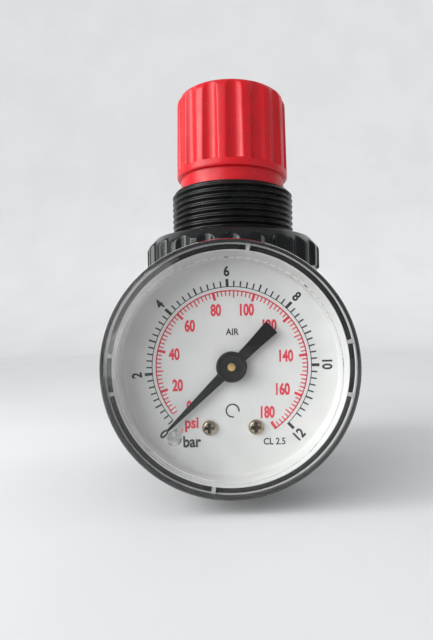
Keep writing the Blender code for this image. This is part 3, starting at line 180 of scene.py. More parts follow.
def facing(x, y):
    """A placing at port height for a flat drawing whose z goes out along (x, y). The drawing's own x goes
    along (-y, x), square to that, and its y goes up."""
    def placed(p):
        """The points p of the drawing, put in their place."""
        out_x, out_y = p[..., 2] * x - p[..., 0] * y, p[..., 2] * y + p[..., 0] * x
        return np.stack([out_x, out_y, GAUGE_HEIGHT + p[..., 1]], -1)
    return placed


on_gauge, on_back, on_right, on_left = facing(0, -1), facing(0, 1), facing(1, 0), facing(-1, 0)


def turned(name, profile, columns, shape=None, ring=False, place=upright, at=(0, 0)):
    """Carries a profile round an axis: x = r cos a, y = r sin a, z = z. The shape function may change
    the radius and the height at every point, as flutes and threads do."""
    r = np.repeat(profile[:, :1], columns, axis=1)
    z = np.repeat(profile[:, 1:], columns, axis=1)
    a = np.broadcast_to(around(columns), r.shape)
    if shape:
        r, z = shape(r, z, a)
    points = np.stack([at[0] + r * np.cos(a), at[1] + r * np.sin(a), z], -1)
    return mesh_piece(name, place(points), grid_faces(len(profile), columns, ring))


def lathe(name, corners, step, columns, shape=None, ring=False, place=upright, at=(0, 0), steps=4):
    """A turned piece from its corners: they are rounded, cut into steps if a step is given, and turned."""
    profile = rounded(corners, ring, steps)
    if step:
        profile = stepped(profile, step, ring)
    return turned(name, profile, columns, shape, ring, place, at)


# %% [markdown]
# ## Cutting a round shape without a cutter
#
# A flute in a knob is the mark of a round cutter that stands beside it. Seen from the knob's axis, the near
# wall of that cutter is at c cos(p) - sqrt(q^2 - (c sin(p))^2), where c is the distance to the cutter's
# middle, q its radius and p the angle to it. The knob's radius is the smaller of its own and that wall, and
# a soft minimum rounds the edge between the two, as a moulding tool does.


# %% Flutes, hexagons and threads
def soft_min(a, b, blend):
    """The smaller of two values, with a rounded join this wide where they meet."""
    h = np.clip(0.5 + 0.5 * (b - a) / blend, 0, 1)
    return b + (a - b) * h - blend * h * (1 - h)


def smooth_step(x, start, end):
    """Runs from 0 to 1 between two values, level at both ends."""
    t = np.clip((x - start) / (end - start), 0, 1)
    return t * t * (3 - 2 * t)


def fold(angle, count, first=0.0):
    """The angle to the nearest of a ring of evenly spaced features."""
    pitch = 2 * np.pi / count
    return (angle - first + pitch / 2) % pitch - pitch / 2


def cutter_wall(angle, count, first, distance, radius):
    """The near wall of a ring of round cutters, or a large radius where no cutter stands."""
    p = fold(angle, count, first)
    inside = radius**2 - (distance * np.sin(p)) ** 2
    wall = distance * np.cos(p) - np.sqrt(np.maximum(inside, 0))
    return np.where(inside > 0, wall, distance * 2)


def many_sided(angle, flats, sides=6, first=0.0):
    """The radius of a regular bar: half its width across flats, over the cosine of the angle."""
    return flats / 2 / np.cos(fold(angle, sides, first))


def thread_form(angle, height, pitch, crest=0.14, root=0.2):
    """How far out a single right-handed thread stands, from 0 in its root to 1 on its crest. The phase
    (height / pitch - angle / a full turn) repeats along the axis and climbs by one pitch a turn."""
    phase = np.abs((height / pitch - angle / (2 * np.pi)) % 1 - 0.5) * 2
    out = np.clip((phase - root) / (1 - crest - root), 0, 1)
    return 0.65 * out + 0.35 * out * out * (3 - 2 * out)


print("a flute 1.1 mm deep:", round(KNOB_R - float(cutter_wall(0.0, 15, 0.0, KNOB_R + 1.5, 2.6)), 2), "mm")

# %% [markdown]
# ## Shared surface effects
#
# Moulded plastic has a fine grain from the tool, every handled surface carries a little dust, and a turned
# metal face keeps the rings of the tool. Several finishes need these, so each effect is a node group built
# once. A group gives out masks and heights only, and the shader stays in the material. All of them read
# the object's own coordinates, in metres, so a grain of a tenth of a millimetre needs a scale of 10000.


# %% Node helpers
def node(tree, kind, settings=None, **inputs):
    """A node with its settings and its inputs, each a value or a socket to link from."""
    made = tree.nodes.new(kind)
    for key, value in (settings or {}).items():
        setattr(made, key, value)
    for key, value in inputs.items():
        socket = made.inputs[int(key[1:])] if key[0] == "i" and key[1:].isdigit() else made.inputs[key]
        if isinstance(value, bpy.types.NodeSocket):
            tree.links.new(value, socket)
        else:
            socket.default_value = value
    return made


def new_group(name, inputs, outputs):
    """An empty shader node group with number inputs (name: default), a Vector input, and outputs."""
    tree = bpy.data.node_groups.new(name, "ShaderNodeTree")
    tree.interface.new_socket("Vector", in_out="INPUT", socket_type="NodeSocketVector")
    for key, value in inputs.items():
        tree.interface.new_socket(key, in_out="INPUT", socket_type="NodeSocketFloat").default_value = value
    for key in outputs:
        tree.interface.new_socket(key, in_out="OUTPUT", socket_type="NodeSocketFloat")
    return tree, tree.nodes.new("NodeGroupInput").outputs, tree.nodes.new("NodeGroupOutput").inputs


def ramp(tree, value, low, high):
    """A value brought from one range to 0 to 1, and held there."""
    return node(tree, "ShaderNodeMapRange", {"interpolation_type": "SMOOTHSTEP"}, Value=value,
                **{"From Min": low, "From Max": high}).outputs[0]


def product(tree, a, b):
    """Two values multiplied."""
    return node(tree, "ShaderNodeMath", {"operation": "MULTIPLY"}, i0=a, i1=b).outputs[0]


def noise(tree, vector, scale, detail=2.0):
    """Fractal noise at a scale, from 0 to 1."""
    return node(tree, "ShaderNodeTexNoise", None, Vector=vector, Scale=scale, Detail=detail).outputs[0]


# %% Grain, dust and turning rings
def grain_group():
    """Height is fine noise at the grain's scale. Patch is slow noise, twenty times wider, that lets a
    finish differ a little from place to place."""
    tree, given, out = new_group("moulded_grain", {"Scale": 6000.0}, ("Height", "Patch"))
    tree.links.new(noise(tree, given["Vector"], given["Scale"], 3.0), out["Height"])
    slow = product(tree, given["Scale"], 0.05)
    tree.links.new(ramp(tree, noise(tree, given["Vector"], slow, 4.0), 0.3, 0.7), out["Patch"])
    return tree


def dust_group():
    """Specks is 1 in small scattered spots, where a fine noise is high inside a coarse noise's patches."""
    tree, given, out = new_group("settled_dust", {"Scale": 2600.0, "Amount": 0.5}, ("Specks",))
    spots = ramp(tree, noise(tree, given["Vector"], given["Scale"], 1.0), 0.72, 0.78)
    wide = product(tree, given["Scale"], 0.08)
    patches = ramp(tree, noise(tree, given["Vector"], wide, 2.0), 0.5, 0.62)
    tree.links.new(product(tree, product(tree, spots, patches), given["Amount"]), out["Specks"])
    return tree


def rings_group():
    """Height is noise along one number, the distance from the Z axis of the vector, which draws fine
    concentric rings as a lathe's tool leaves them."""
    tree, given, out = new_group("turning_rings", {"Scale": 9000.0}, ("Height",))
    parts = node(tree, "ShaderNodeSeparateXYZ", None, i0=given["Vector"])
    flat = node(tree, "ShaderNodeCombineXYZ", None, i0=parts.outputs[0], i1=parts.outputs[1])
    far = node(tree, "ShaderNodeVectorMath", {"operation": "LENGTH"}, i0=flat.outputs[0]).outputs["Value"]
    line = node(tree, "ShaderNodeTexNoise", {"noise_dimensions": "1D"}, W=far, Scale=given["Scale"],
                Detail=2.0)
    tree.links.new(line.outputs[0], out["Height"])
    return tree


GRAIN, DUST, RINGS = grain_group(), dust_group(), rings_group()
print("groups:", [g.name for g in bpy.data.node_groups])

# %% [markdown]
# ## Finishes
#
# Each finish is a Principled shader. Its base colour drifts a little between two close tones, its roughness
# follows the same patches, and the grain goes through a Bump node whose distance is the real depth of
# the grain, some hundredths of a millimetre or less. Dust lightens and roughens it in specks.


# %% A finish from its facts
def finish(name, tone, other, rough, grain=6000.0, depth=0.004, dust=0.4, rings=0.0, lay=(0, 0, 0), **fixed):
    """A material: two close tones, a roughness range, the grain's scale and depth in mm, the amount of dust,
    and the depth of turning rings about an axis that lay turns to Z. Fixed values go on the shader."""
    made = bpy.data.materials.new(name)
    made.use_nodes = True
    tree = made.node_tree
    shader = tree.nodes["Principled BSDF"]
    for key, value in fixed.items():
        shader.inputs[key.replace("_", " ")].default_value = value
    place = node(tree, "ShaderNodeTexCoord").outputs["Object"]
    skin = node(tree, "ShaderNodeGroup", {"node_tree": GRAIN}, Vector=place, Scale=grain)
    specks = node(tree, "ShaderNodeGroup", {"node_tree": DUST}, Vector=place, Amount=dust)
    colour = node(tree, "ShaderNodeMix", {"data_type": "RGBA"}, i0=skin.outputs["Patch"],
                  i6=(*tone, 1), i7=(*other, 1))
    dusty = node(tree, "ShaderNodeMix", {"data_type": "RGBA"}, i0=specks.outputs["Specks"],
                 i6=colour.outputs[2], i7=(0.62, 0.62, 0.6, 1))
    tree.links.new(dusty.outputs[2], shader.inputs["Base Color"])
    patchy = node(tree, "ShaderNodeMapRange", None, Value=skin.outputs["Patch"],
                  **{"To Min": rough[0], "To Max": rough[1]})
    worn = node(tree, "ShaderNodeMath", {"operation": "ADD", "use_clamp": True},
                i0=patchy.outputs[0], i1=product(tree, specks.outputs["Specks"], 0.4))
    tree.links.new(worn.outputs[0], shader.inputs["Roughness"])
    bump = node(tree, "ShaderNodeBump", None, Distance=depth * MM, Height=skin.outputs["Height"])
    if rings:
        turned_place = node(tree, "ShaderNodeMapping", None, Vector=place, Rotation=lay)
        lines = node(tree, "ShaderNodeGroup", {"node_tree": RINGS}, Vector=turned_place.outputs[0])
        bump = node(tree, "ShaderNodeBump", None, Distance=rings * MM, Height=lines.outputs["Height"],
                    Normal=bump.outputs[0])
    tree.links.new(bump.outputs[0], shader.inputs["Normal"])
    return made


FORWARD = (math.pi / 2, 0, 0)
RED = finish("red_moulded_knob", (0.62, 0.006, 0.014), (0.54, 0.004, 0.01), (0.26, 0.38), 4200, 0.014, 0.4,
             Specular_IOR_Level=0.4)
NYLON = finish("black_bonnet_nylon", (0.006, 0.0065, 0.007), (0.011, 0.0115, 0.012), (0.27, 0.36),
               5000, 0.004, 0.3, Specular_IOR_Level=0.3)
GLOSS = finish("glossy_nut_nylon", (0.005, 0.0055, 0.006), (0.009, 0.01, 0.011), (0.14, 0.22),
               2600, 0.005, 0.5, Specular_IOR_Level=0.4)
CASTING = finish("painted_zinc_casting", (0.014, 0.014, 0.015), (0.022, 0.022, 0.023), (0.42, 0.56),
                 2400, 0.02, 0.4, Specular_IOR_Level=0.35)
CASE = finish("black_gauge_case", (0.008, 0.008, 0.009), (0.014, 0.014, 0.015), (0.3, 0.42), 4800, 0.005, 0.3,
              Specular_IOR_Level=0.3)
POINTER = finish("black_pointer_paint", (0.006, 0.006, 0.006), (0.01, 0.01, 0.01), (0.4, 0.5),
                 7000, 0.003, 0.1, Specular_IOR_Level=0.2)
BLACK_INK = finish("black_dial_ink", (0.012, 0.012, 0.014), (0.03, 0.03, 0.034), (0.5, 0.6), 9000, 0.002, 0)
RED_INK = finish("red_dial_ink", (0.66, 0.02, 0.05), (0.76, 0.05, 0.085), (0.5, 0.6), 9000, 0.002, 0)
DIAL = finish("white_dial_lacquer", (0.66, 0.66, 0.65), (0.71, 0.71, 0.7), (0.5, 0.62), 4200, 0.006, 0.25)
ACETAL = finish("moulded_acetal", (0.72, 0.71, 0.66), (0.78, 0.77, 0.72), (0.35, 0.45), 5000, 0.004, 0.1)
SEAL = finish("white_sealing_washer", (0.68, 0.68, 0.65), (0.75, 0.75, 0.72), (0.45, 0.6), 4000, 0.01, 0.2)
# painted highlight: a pale grey for the light that the lens's bent rim throws on the ring and the tabs under
# it
PALE_RIM_HIGHLIGHT = finish("painted_rim_highlight", (0.42, 0.42, 0.42), (0.5, 0.5, 0.5), (0.3, 0.45), 4000, 0.01, 0.1)
RUBBER = finish("black_rubber", (0.016, 0.016, 0.016), (0.026, 0.026, 0.026), (0.6, 0.8), 5000, 0.01, 0.5)
BRASS = finish("turned_brass", (0.62, 0.4, 0.15), (0.72, 0.5, 0.22), (0.22, 0.36), 3000, 0.002, 0.15,
               rings=0.004, lay=FORWARD, Metallic=1.0)
VALVE_BRASS = finish("valve_brass", (0.62, 0.4, 0.15), (0.72, 0.5, 0.22), (0.2, 0.32), 3000, 0.002, 0.1,
                     rings=0.004, Metallic=1.0)
BRONZE = finish("drawn_bronze", (0.5, 0.26, 0.11), (0.6, 0.34, 0.16), (0.25, 0.4),
                3600, 0.003, 0.1, Metallic=1.0)
STEEL = finish("zinc_plated_steel", (0.5, 0.5, 0.47), (0.6, 0.59, 0.54), (0.25, 0.4), 3000, 0.003, 0.1,
               rings=0.003, Metallic=1.0)
SPRING = finish("drawn_spring_wire", (0.3, 0.3, 0.31), (0.4, 0.4, 0.4), (0.22, 0.36),
                4000, 0.003, 0.05, Metallic=1.0)
# painted shade: the dark tone that the screws' cross recesses get for the shadow inside them
RECESS_SHADE = finish("screw_recess_shadow", (0.05, 0.035, 0.02), (0.1, 0.07, 0.04), (0.4, 0.6),
              5000, 0.01, 0.2, Metallic=0.6)
NICKEL = finish("nickel_plated_screw", (0.4, 0.34, 0.24), (0.52, 0.46, 0.36), (0.14, 0.28), 5200, 0.004, 0.2,
                Metallic=1.0)
print("finishes:", len(bpy.data.materials))

# %% [markdown]
# ## The clear lens
#
# The lens is moulded in clear plastic. Real glass in a renderer bends what is behind it, which gives the
# dark and light rings at its rim, but it also stops a lamp's rays, so the dial would be left dark. The
# usual answer is to let the shader turn transparent for those rays alone, which Light Path picks out.


# %% Clear plastic
def clear_plastic():
    """Smooth glass with faint moulding waves and a few specks of dust, open to lamps."""
    made = finish("clear_lens_plastic", (0.97, 0.98, 0.98), (0.99, 0.99, 0.99), (0.0, 0.03), 900, 0.003, 0.0,
                  Transmission_Weight=1.0, IOR=1.32)
    tree = made.node_tree
    shader, out = tree.nodes["Principled BSDF"], tree.nodes["Material Output"]
    lamps = node(tree, "ShaderNodeLightPath").outputs["Is Shadow Ray"]
    clear = node(tree, "ShaderNodeBsdfTransparent", None, Color=(0.97, 0.98, 0.98, 1))
    mixed = node(tree, "ShaderNodeMixShader", None, i0=lamps, i1=shader.outputs[0], i2=clear.outputs[0])
    tree.links.new(mixed.outputs[0], out.inputs["Surface"])
    return made


CLEAR = clear_plastic()


# %% Putting a piece in its place
def fit(piece, material, body, slot, *solids):
    """Gives a piece its finish, puts it on the body it moves with, and says which solids it stands for."""
    piece.data.materials.clear()
    piece.data.materials.append(material)
    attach(piece, body)
    if solids:
        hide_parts(*solids)
    co = np.empty(len(piece.data.vertices) * 3, np.float32)
    piece.data.vertices.foreach_get("co", co)
    size = (np.ptp(co.reshape(-1, 3), axis=0) / MM).round(1).tolist()
    print(f"{piece.name}: {len(piece.data.polygons)} faces, {size} mm, on {body}")
    return piece

# %% [markdown]
# ## The knob
#
# The knob is a red moulded cap that is pulled up to turn and pushed down to lock. Fifteen flutes run down
# its side and stop at a plain skirt, under which a narrower neck goes into the bonnet. Its wall leans out by
# a third of a millimetre so that it leaves the mould. The flutes could be cut with Booleans, but as a change
# of radius they keep an even grid, and the rounded edge that the mould leaves comes with them.


# %% Knob
FLUTES, FLUTE_START, FLUTE_CUTTER, FLUTE_DEPTH = 15, math.radians(10), 2.6, 1.15
TEETH, TEETH_R = 12, 12.7  # the lock teeth in the bonnet, and the radius of their ring
SLOT_HALF, SLOT_TOP = 1.15, KNOB_LOW + 2.2
CORNER_ON_X = math.pi / 6  # turns a hexagon so that two of its corners lie along X
SKIRT_TOP, SKIRT_LOW = KNOB_TOP - 19.8, KNOB_TOP - 21.8
NECK_R, KNOB_BORE, BOSS_R, DRIVE_FLATS = KNOB_R - 1.0, 11.6, 6.6, 7.8


def knob_shape(r, z, a):
    """Above the skirt the radius is the softer of the wall and the flutes. Inside the boss it is the
    hexagon that drives the screw, faded out towards the boss's rim. Twelve slots lift the neck's lower
    edge, where the bonnet's teeth come in when the knob is pushed down to lock."""
    wall = cutter_wall(a, FLUTES, FLUTE_START, KNOB_R - FLUTE_DEPTH + FLUTE_CUTTER, FLUTE_CUTTER)
    above = smooth_step(z, SKIRT_TOP - 0.05, SKIRT_TOP + 0.3)
    r = r + (soft_min(r, wall, 0.35) - r) * above
    drive = many_sided(a, DRIVE_FLATS, 6, CORNER_ON_X) / (DRIVE_FLATS / 2) - 1
    inside = np.clip((BOSS_R - r) / (BOSS_R - DRIVE_FLATS / 2), 0, 1) * (z < KNOB_TOP - 5)
    slot = np.abs(fold(a, TEETH)) * TEETH_R < SLOT_HALF
    lifted = np.maximum(z, SLOT_TOP)
    return r * (1 + drive * inside), np.where(slot & (r > KNOB_BORE - 0.4), lifted, z)


knob_corners = [
    (0, KNOB_TOP - 0.5, 0), (9.0, KNOB_TOP - 0.5, 0.3), (9.5, KNOB_TOP, 0.3), (KNOB_R - 0.34, KNOB_TOP, 2.8),
    (KNOB_R - 0.02, SKIRT_TOP + 0.3, 0.05), (KNOB_R, SKIRT_TOP - 0.2, 0.05), (KNOB_R, SKIRT_LOW, 0.75),
    (NECK_R, SKIRT_LOW, 0.2), (NECK_R, KNOB_LOW, 0.3), (KNOB_BORE, KNOB_LOW, 0.3),
    (KNOB_BORE, KNOB_TOP - 3.5, 0.6), (BOSS_R, KNOB_TOP - 3.5, 0.6), (BOSS_R, KNOB_TOP - 25.2, 0.3),
    (DRIVE_FLATS / 2, KNOB_TOP - 25.2, 0.3), (DRIVE_FLATS / 2, KNOB_TOP - 12.4, 0.3), (0, KNOB_TOP - 12.4, 0),
]
knob = lathe("fluted_knob", knob_corners, 0.6, FLUTES * 24, knob_shape, steps=6)
fit(knob, RED, "knob", "knob_red", "knob")

# %% [markdown]
# ## The bonnet
#
# The bonnet is the black tower that holds the range spring. Its outside is one long M32 thread, so the
# regulator can be put through a panel. A thread is not a stack of rings: it is a single ridge that climbs by
# one pitch in every turn, so the radius depends on height and angle together. The same function makes the
# spanner flats on the skirt, the twelve lock teeth in the knob's pocket and the two keyways inside.

# %% Bonnet
PITCH, CREST_R, ROOT_R, SHOULDER = 1.5, 16.0, 15.08, BONNET_LOW + 12.7
FIRST_CREST = BONNET_TOP - 1.2
POCKET_R, CHAMBER_R, SPIGOT_BORE = NECK_R + 0.3, 12.0, 17.8
WEB_TOP, WEB_LOW, CLAMP = BONNET_TOP - 4.7, BONNET_TOP - 6.7, SPIGOT_TOP + 1.4
SKIRT_FLATS, TOOTH_HEIGHT, KEYWAY_R, KEYWAY_HALF = 39.4, 1.6, 13.1, 1.8


def outside_thread(a, z):
    """The bonnet's thread, set so that a crest passes the front at the height of the first crest."""
    return thread_form(a + math.pi / 2, z - FIRST_CREST, PITCH)


def bonnet_shape(r, z, a):
    """Thread on the outside, flats on the skirt, teeth on the web and keyways in the chamber."""
    threaded = smooth_step(z, SHOULDER + 0.5, SHOULDER + 1.3) * (r > CREST_R - 1.3)
    thread_r = ROOT_R + (CREST_R - ROOT_R) * outside_thread(a, z)
    r = r + (soft_min(r, thread_r, 0.06) - r) * threaded
    flats = many_sided(a, SKIRT_FLATS, 6, CORNER_ON_X)
    r = np.where((r > 18) & (z < SHOULDER + 0.01), soft_min(r, flats, 0.3), r)
    tooth = 1 - smooth_step(np.abs(fold(a, TEETH)) * TEETH_R, 0.6, 0.85)
    band = smooth_step(r, 11.7, 11.95) * (1 - smooth_step(r, 13.4, 13.6)) * (np.abs(z - WEB_TOP) < 0.05)
    key = np.minimum(KEYWAY_R, KEYWAY_HALF / np.maximum(np.abs(np.sin(a)), 1e-6))
    keyed = (np.abs(r - CHAMBER_R) < 0.05) & (z > CLAMP + 0.1) & (z < KNOB_LOW - 6.5)
    return np.where(keyed, np.maximum(r, key), r), z + TOOTH_HEIGHT * tooth * band


bonnet_corners = [
    (14.9, BONNET_TOP, 0.15), (CREST_R, BONNET_TOP - 1.1, 0), (CREST_R, SHOULDER, 0.1),
    (BONNET_R, SHOULDER, 0.8), (BONNET_R, BONNET_LOW, 0.4), (SPIGOT_BORE, BONNET_LOW, 0.3),
    (SPIGOT_BORE, CLAMP, 0.1), (CHAMBER_R, CLAMP, 0.3), (CHAMBER_R, WEB_LOW, 0.3), (4.5, WEB_LOW, 0.2),
    (4.5, WEB_TOP, 0.2), (POCKET_R, WEB_TOP, 0.1), (POCKET_R, BONNET_TOP, 0.15),
]
bonnet_profile = stepped(rounded(bonnet_corners, ring=True), 0.1, ring=True)
coarse = (bonnet_profile[:, 0] < 15) & (np.abs(bonnet_profile[:, 1] - WEB_TOP) > 0.05)
keep = ~coarse | (np.arange(len(bonnet_profile)) % 6 == 0)
bonnet = turned("threaded_bonnet", bonnet_profile[keep], 144, bonnet_shape, ring=True)
fit(bonnet, NYLON, "regulator", "bonnet_nylon", "bonnet")

# %% [markdown]
# ## The panel ring nut
#
# The ring nut clamps the panel. It is moulded in glossy black nylon, with twenty-four scallops for the
# fingers and a sloping shoulder, and it carries the inside of the same thread.


# %% Ring nut
SCALLOPS, NUT_BORE = 24, 16.3


def nut_shape(r, z, a):
    """Scallops on the outside, and grooves in the bore where the bonnet's crests run."""
    wall = cutter_wall(a, SCALLOPS, 0.0, NUT_R + 1.5, 2.5)
    outer = soft_min(r, wall, 0.3)
    ends = smooth_step(z, NUT_LOW + 0.2, NUT_LOW + 0.8) * (1 - smooth_step(z, NUT_TOP - 0.8, NUT_TOP - 0.2))
    inner = r + 0.55 * outside_thread(a, z) * ends
    return np.where(r > 18, outer, np.where(r < NUT_BORE + 0.1, inner, r)), z


nut_corners = [
    (NUT_BORE, NUT_TOP, 0.25), (NUT_R - 2.4, NUT_TOP, 0.35), (NUT_R, NUT_TOP - 2.6, 0.7),
    (NUT_R, NUT_LOW, 0.5), (NUT_BORE, NUT_LOW, 0.25),
]
ring_nut = lathe("scalloped_ring_nut", nut_corners, 0.25, SCALLOPS * 20, nut_shape, True, steps=5)
fit(ring_nut, GLOSS, "panel_nut", "nut_nylon", "panel_nut")

# %% [markdown]
# ## The body
#
# The body is a zinc die casting: a rounded block with a boss for each port and a spigot that screws into
# the bonnet. The block's radius in any direction has a closed form, a flat side or the arc of a corner. The
# bosses are turned shapes with a flared root, as a casting has, and Booleans join them on and then bore
# the ports. The two side ports get a true pipe thread, because anyone who looks into them would see it.


# %% Body
BODY_TOP, SPIGOT_R, BLOCK_HALF, BLOCK_CORNER, BLOCK_EDGE = BONNET_LOW - 0.3, 17.5, 18.5, 6.0, 0.7


def rounded_square(a, half, corner):
    """The radius of a square with round corners: half / cos on its sides, and on a corner the far root of
    the circle round the corner's middle."""
    c, s = np.abs(np.cos(a)), np.abs(np.sin(a))
    side = half / np.maximum(c, s)
    inner = half - corner
    m = inner * (c + s)
    arc = m + np.sqrt(np.maximum(m**2 - 2 * inner**2 + corner**2, 0))
    return np.where(side * np.minimum(c, s) <= inner, side, arc)


def block_shape(r, z, a):
    """The block's plan below the spigot, and a plain circle on the spigot."""
    plan = rounded_square(a, BLOCK_HALF, BLOCK_CORNER) / BLOCK_HALF
    squared = np.where(z < BODY_TOP - 0.01, 1.0, np.clip((r - SPIGOT_R) / 0.2, 0, 1))
    return r * (1 + (plan - 1) * squared), z


def bored(piece, operation, *others):
    """Joins other pieces on, or takes them away, and keeps the result as the piece's own mesh."""
    for other in others:
        change = piece.modifiers.new(operation.lower(), "BOOLEAN")
        change.operation, change.solver, change.object = operation, "EXACT", other
    graph = bpy.context.evaluated_depsgraph_get()
    mesh = bpy.data.meshes.new_from_object(piece.evaluated_get(graph))
    piece.modifiers.clear()
    piece.data = mesh
    mesh.shade_smooth()
    mesh.set_sharp_from_angle(angle=math.radians(35))
    for other in others:
        bpy.data.objects.remove(other)
    return piece


def below_bonnet(place):
    """A placing that also keeps a boss under the bonnet's skirt."""
    def placed(p):
        """The placed points, with no height above the body's top."""
        q = place(p)
        q[..., 2] = np.minimum(q[..., 2], BODY_TOP - 0.1)
        return q
    return placed


def boss(reach, radius, place):
    """A boss with a flared root, standing out of the block's side."""
    foot = BLOCK_HALF - 0.05
    corners = [(0, reach, 0), (radius, reach, 0.5), (radius, foot, 1.0), (radius + 1.4, foot, 0), (0, 16, 0)]
    return lathe("boss", corners, 2.0, 64, place=below_bonnet(place), steps=6)


def port(reach, radius, depth, place, pitch=1.337, groove=0.0):
    """What a port takes away: a blind bore with a chamfered mouth, and a thread groove if it has one."""
    corners = [(0, reach + 1, 0), (radius + 0.9 + groove, reach + 1, 0), (radius + 0.9 + groove, reach, 0),
               (radius, reach - 0.9, 0), (radius, reach - depth + 1, 0), (0, reach - depth, 0)]
    def threads(r, z, a):
        """A groove cut outwards into the bore, faded in from the blind end."""
        run = smooth_step(z, reach - depth + 1.5, reach - depth + 3) * (z < reach - 0.5)
        return r + groove * thread_form(a, z, pitch) * run * (np.abs(r - radius) < 0.05), z
    return lathe("port", corners, 0.17 if groove else 3.0, 72, threads, place=place)


block_corners = [
    (0, SPIGOT_TOP, 0), (SPIGOT_R, SPIGOT_TOP, 0.4), (SPIGOT_R, BODY_TOP, 0),
    (BLOCK_HALF, BODY_TOP, BLOCK_EDGE), (BLOCK_HALF, BODY_LOW, 1.2), (0, BODY_LOW, 0),
]
body = lathe("cast_body", block_corners, 2.5, 160, block_shape, steps=5)
bored(body, "UNION", boss(PORT_REACH, 8.0, on_right), boss(PORT_REACH, 8.0, on_left),
      boss(SIDE_REACH, 7.8, on_gauge), boss(SIDE_REACH, 7.8, on_back))
core_corners = [
    (0, SPIGOT_TOP + 1, 0), (14.5, SPIGOT_TOP + 1, 0), (14.5, 36.5, 0.3), (3.3, 36.5, 0), (3.3, 35, 0),
    (1.9, 35, 0), (1.9, 34, 0), (7.5, 34, 0), (7.5, 29, 0), (4.3, 29, 0), (4.3, 26.2, 0), (7.5, 26.2, 0),
    (7.5, 16, 0), (9.7, 16, 0), (9.7, BODY_LOW - 1, 0), (0, BODY_LOW - 1, 0),
]
bored(body, "DIFFERENCE", lathe("core", core_corners, None, 64),
      port(PORT_REACH, 5.8, 12, on_right, groove=0.6), port(PORT_REACH, 5.8, 12, on_left, groove=0.6),
      port(SIDE_REACH, 4.7, 8.5, on_gauge), port(SIDE_REACH, 4.7, 8.5, on_back))
fit(body, CASTING, "regulator", "die_cast_black", "body")

# %% [markdown]
# ## The plugs
#
# A hexagon plug closes the body from below and guides the valve's spring, and a brass plug with a key socket
# closes the port that a gauge would use on the other side. A hexagon needs no new tool here: it is a turned
# shape whose radius follows a six-sided bar, and the chamfer is the smaller of the two radii.


# %% Plugs
PLUG_FACE, PLUG_FLATS, KEY_FLATS = BODY_LOW - 0.3, 24, 5.0
REAR_FACE = span("rear_plug")[1][1]


def hexagon_head(r, z, a):
    """A hexagon below the face that meets the body, with its corners turned off by the chamfer."""
    hexed = np.minimum(r, many_sided(a, PLUG_FLATS, 6, CORNER_ON_X))
    return np.where((r > 10) & (z < PLUG_FACE + 0.01), hexed, r), z


plug_corners = [
    (0, 0, 0), (12.2, 0, 0.2), (13.9, 0.9, 0.2), (13.9, PLUG_FACE - 0.5, 0.2), (13.2, PLUG_FACE, 0.2),
    (9.4, PLUG_FACE, 0.2), (9.4, 15, 0.5), (5.0, 15, 0.3), (5.0, 5, 0.3), (0, 5, 0),
]
plug = lathe("hexagon_bottom_plug", plug_corners, 0.5, 144, hexagon_head)
fit(plug, CASTING, "regulator", "die_cast_black", "bottom_plug")


def key_socket(r, z, a):
    """A hexagon socket for a 5 mm key, where the profile's radius is the socket's."""
    hexed = r * many_sided(a, KEY_FLATS) / (KEY_FLATS / 2)
    return np.where((np.abs(r - KEY_FLATS / 2) < 0.02) & (z > REAR_FACE - 2.2), hexed, r), z


rear_corners = [
    (0, REAR_FACE - 1.8, 0), (KEY_FLATS / 2, REAR_FACE - 1.8, 0), (KEY_FLATS / 2, REAR_FACE - 0.05, 0),
    (3.2, REAR_FACE, 0), (6.8, REAR_FACE, 0.6), (6.8, REAR_FACE - 2.5, 0.2), (4.4, REAR_FACE - 2.5, 0.2),
    (4.4, 12.0, 0.4), (0, 12.0, 0),
]
rear = lathe("socket_rear_plug", rear_corners, 0.5, 96, key_socket, place=on_back)
fit(rear, BRASS, "regulator", "brass", "rear_plug")

# %% [markdown]
# ## The gauge's case and lens
#
# The case is a moulded cup. Four notches in its front rim take the tabs of the press-fit lens. The lens is a
# clear cap: a flat window, a small step, a slope, and a skirt that goes down outside the cup. Its stepped
# rim bends the view of the black cup.


# %% Gauge case
NOTCHES, NOTCH_FIRST, NOTCH_HALF = 4, math.radians(81), math.radians(3.2)
CASE_SCREW_X = 9.7


def case_shape(r, z, a):
    """The rim drops by almost a millimetre in each notch."""
    notch = 1 - smooth_step(np.abs(fold(a, NOTCHES, NOTCH_FIRST)), NOTCH_HALF, NOTCH_HALF * 1.25)
    front = smooth_step(z, CASE_FRONT - 0.6, CASE_FRONT - 0.1) * (r > 21.5)
    return r, z - 0.9 * notch * front


case_corners = [
    (0, CASE_BACK, 0), (CASE_R - 1, CASE_BACK, 0.3), (CASE_R, CASE_BACK + 1, 0.4), (CASE_R, CASE_FRONT, 0.3),
    (23.15, CASE_FRONT, 0.2), (22.95, DIAL_FRONT - 0.55, 0.1), (21.3, DIAL_FRONT - 0.55, 0.1),
    (21.3, CASE_BACK + 1.2, 0.4), (0, CASE_BACK + 1.2, 0),
]
case = lathe("gauge_cup", case_corners, 0.8, 288, case_shape, place=on_gauge)
bores = []
for x, r in ((0, 5.2), (-CASE_SCREW_X, 1.05), (CASE_SCREW_X, 1.05)):
    start, end = CASE_BACK - 1, CASE_BACK + 2
    bore_corners = [(0, start, 0), (r, start, 0), (r, end, 0), (0, end, 0)]
    bores.append(lathe("bore", bore_corners, None, 48, place=on_gauge, at=(x, 0)))
bored(case, "DIFFERENCE", *bores)
fit(case, CASE, "regulator", "case_black", "gauge_case")

# %% Lens
PIN_REACH, PIN_R = 16.4, 1.35
PIN_ANGLE = math.radians(-135) - math.asin(PIN_R / PIN_REACH)


def dial_xy(reach, clockwise):
    """A place on the dial, from its distance and its angle clockwise from the top."""
    return reach * math.sin(clockwise), reach * math.cos(clockwise)


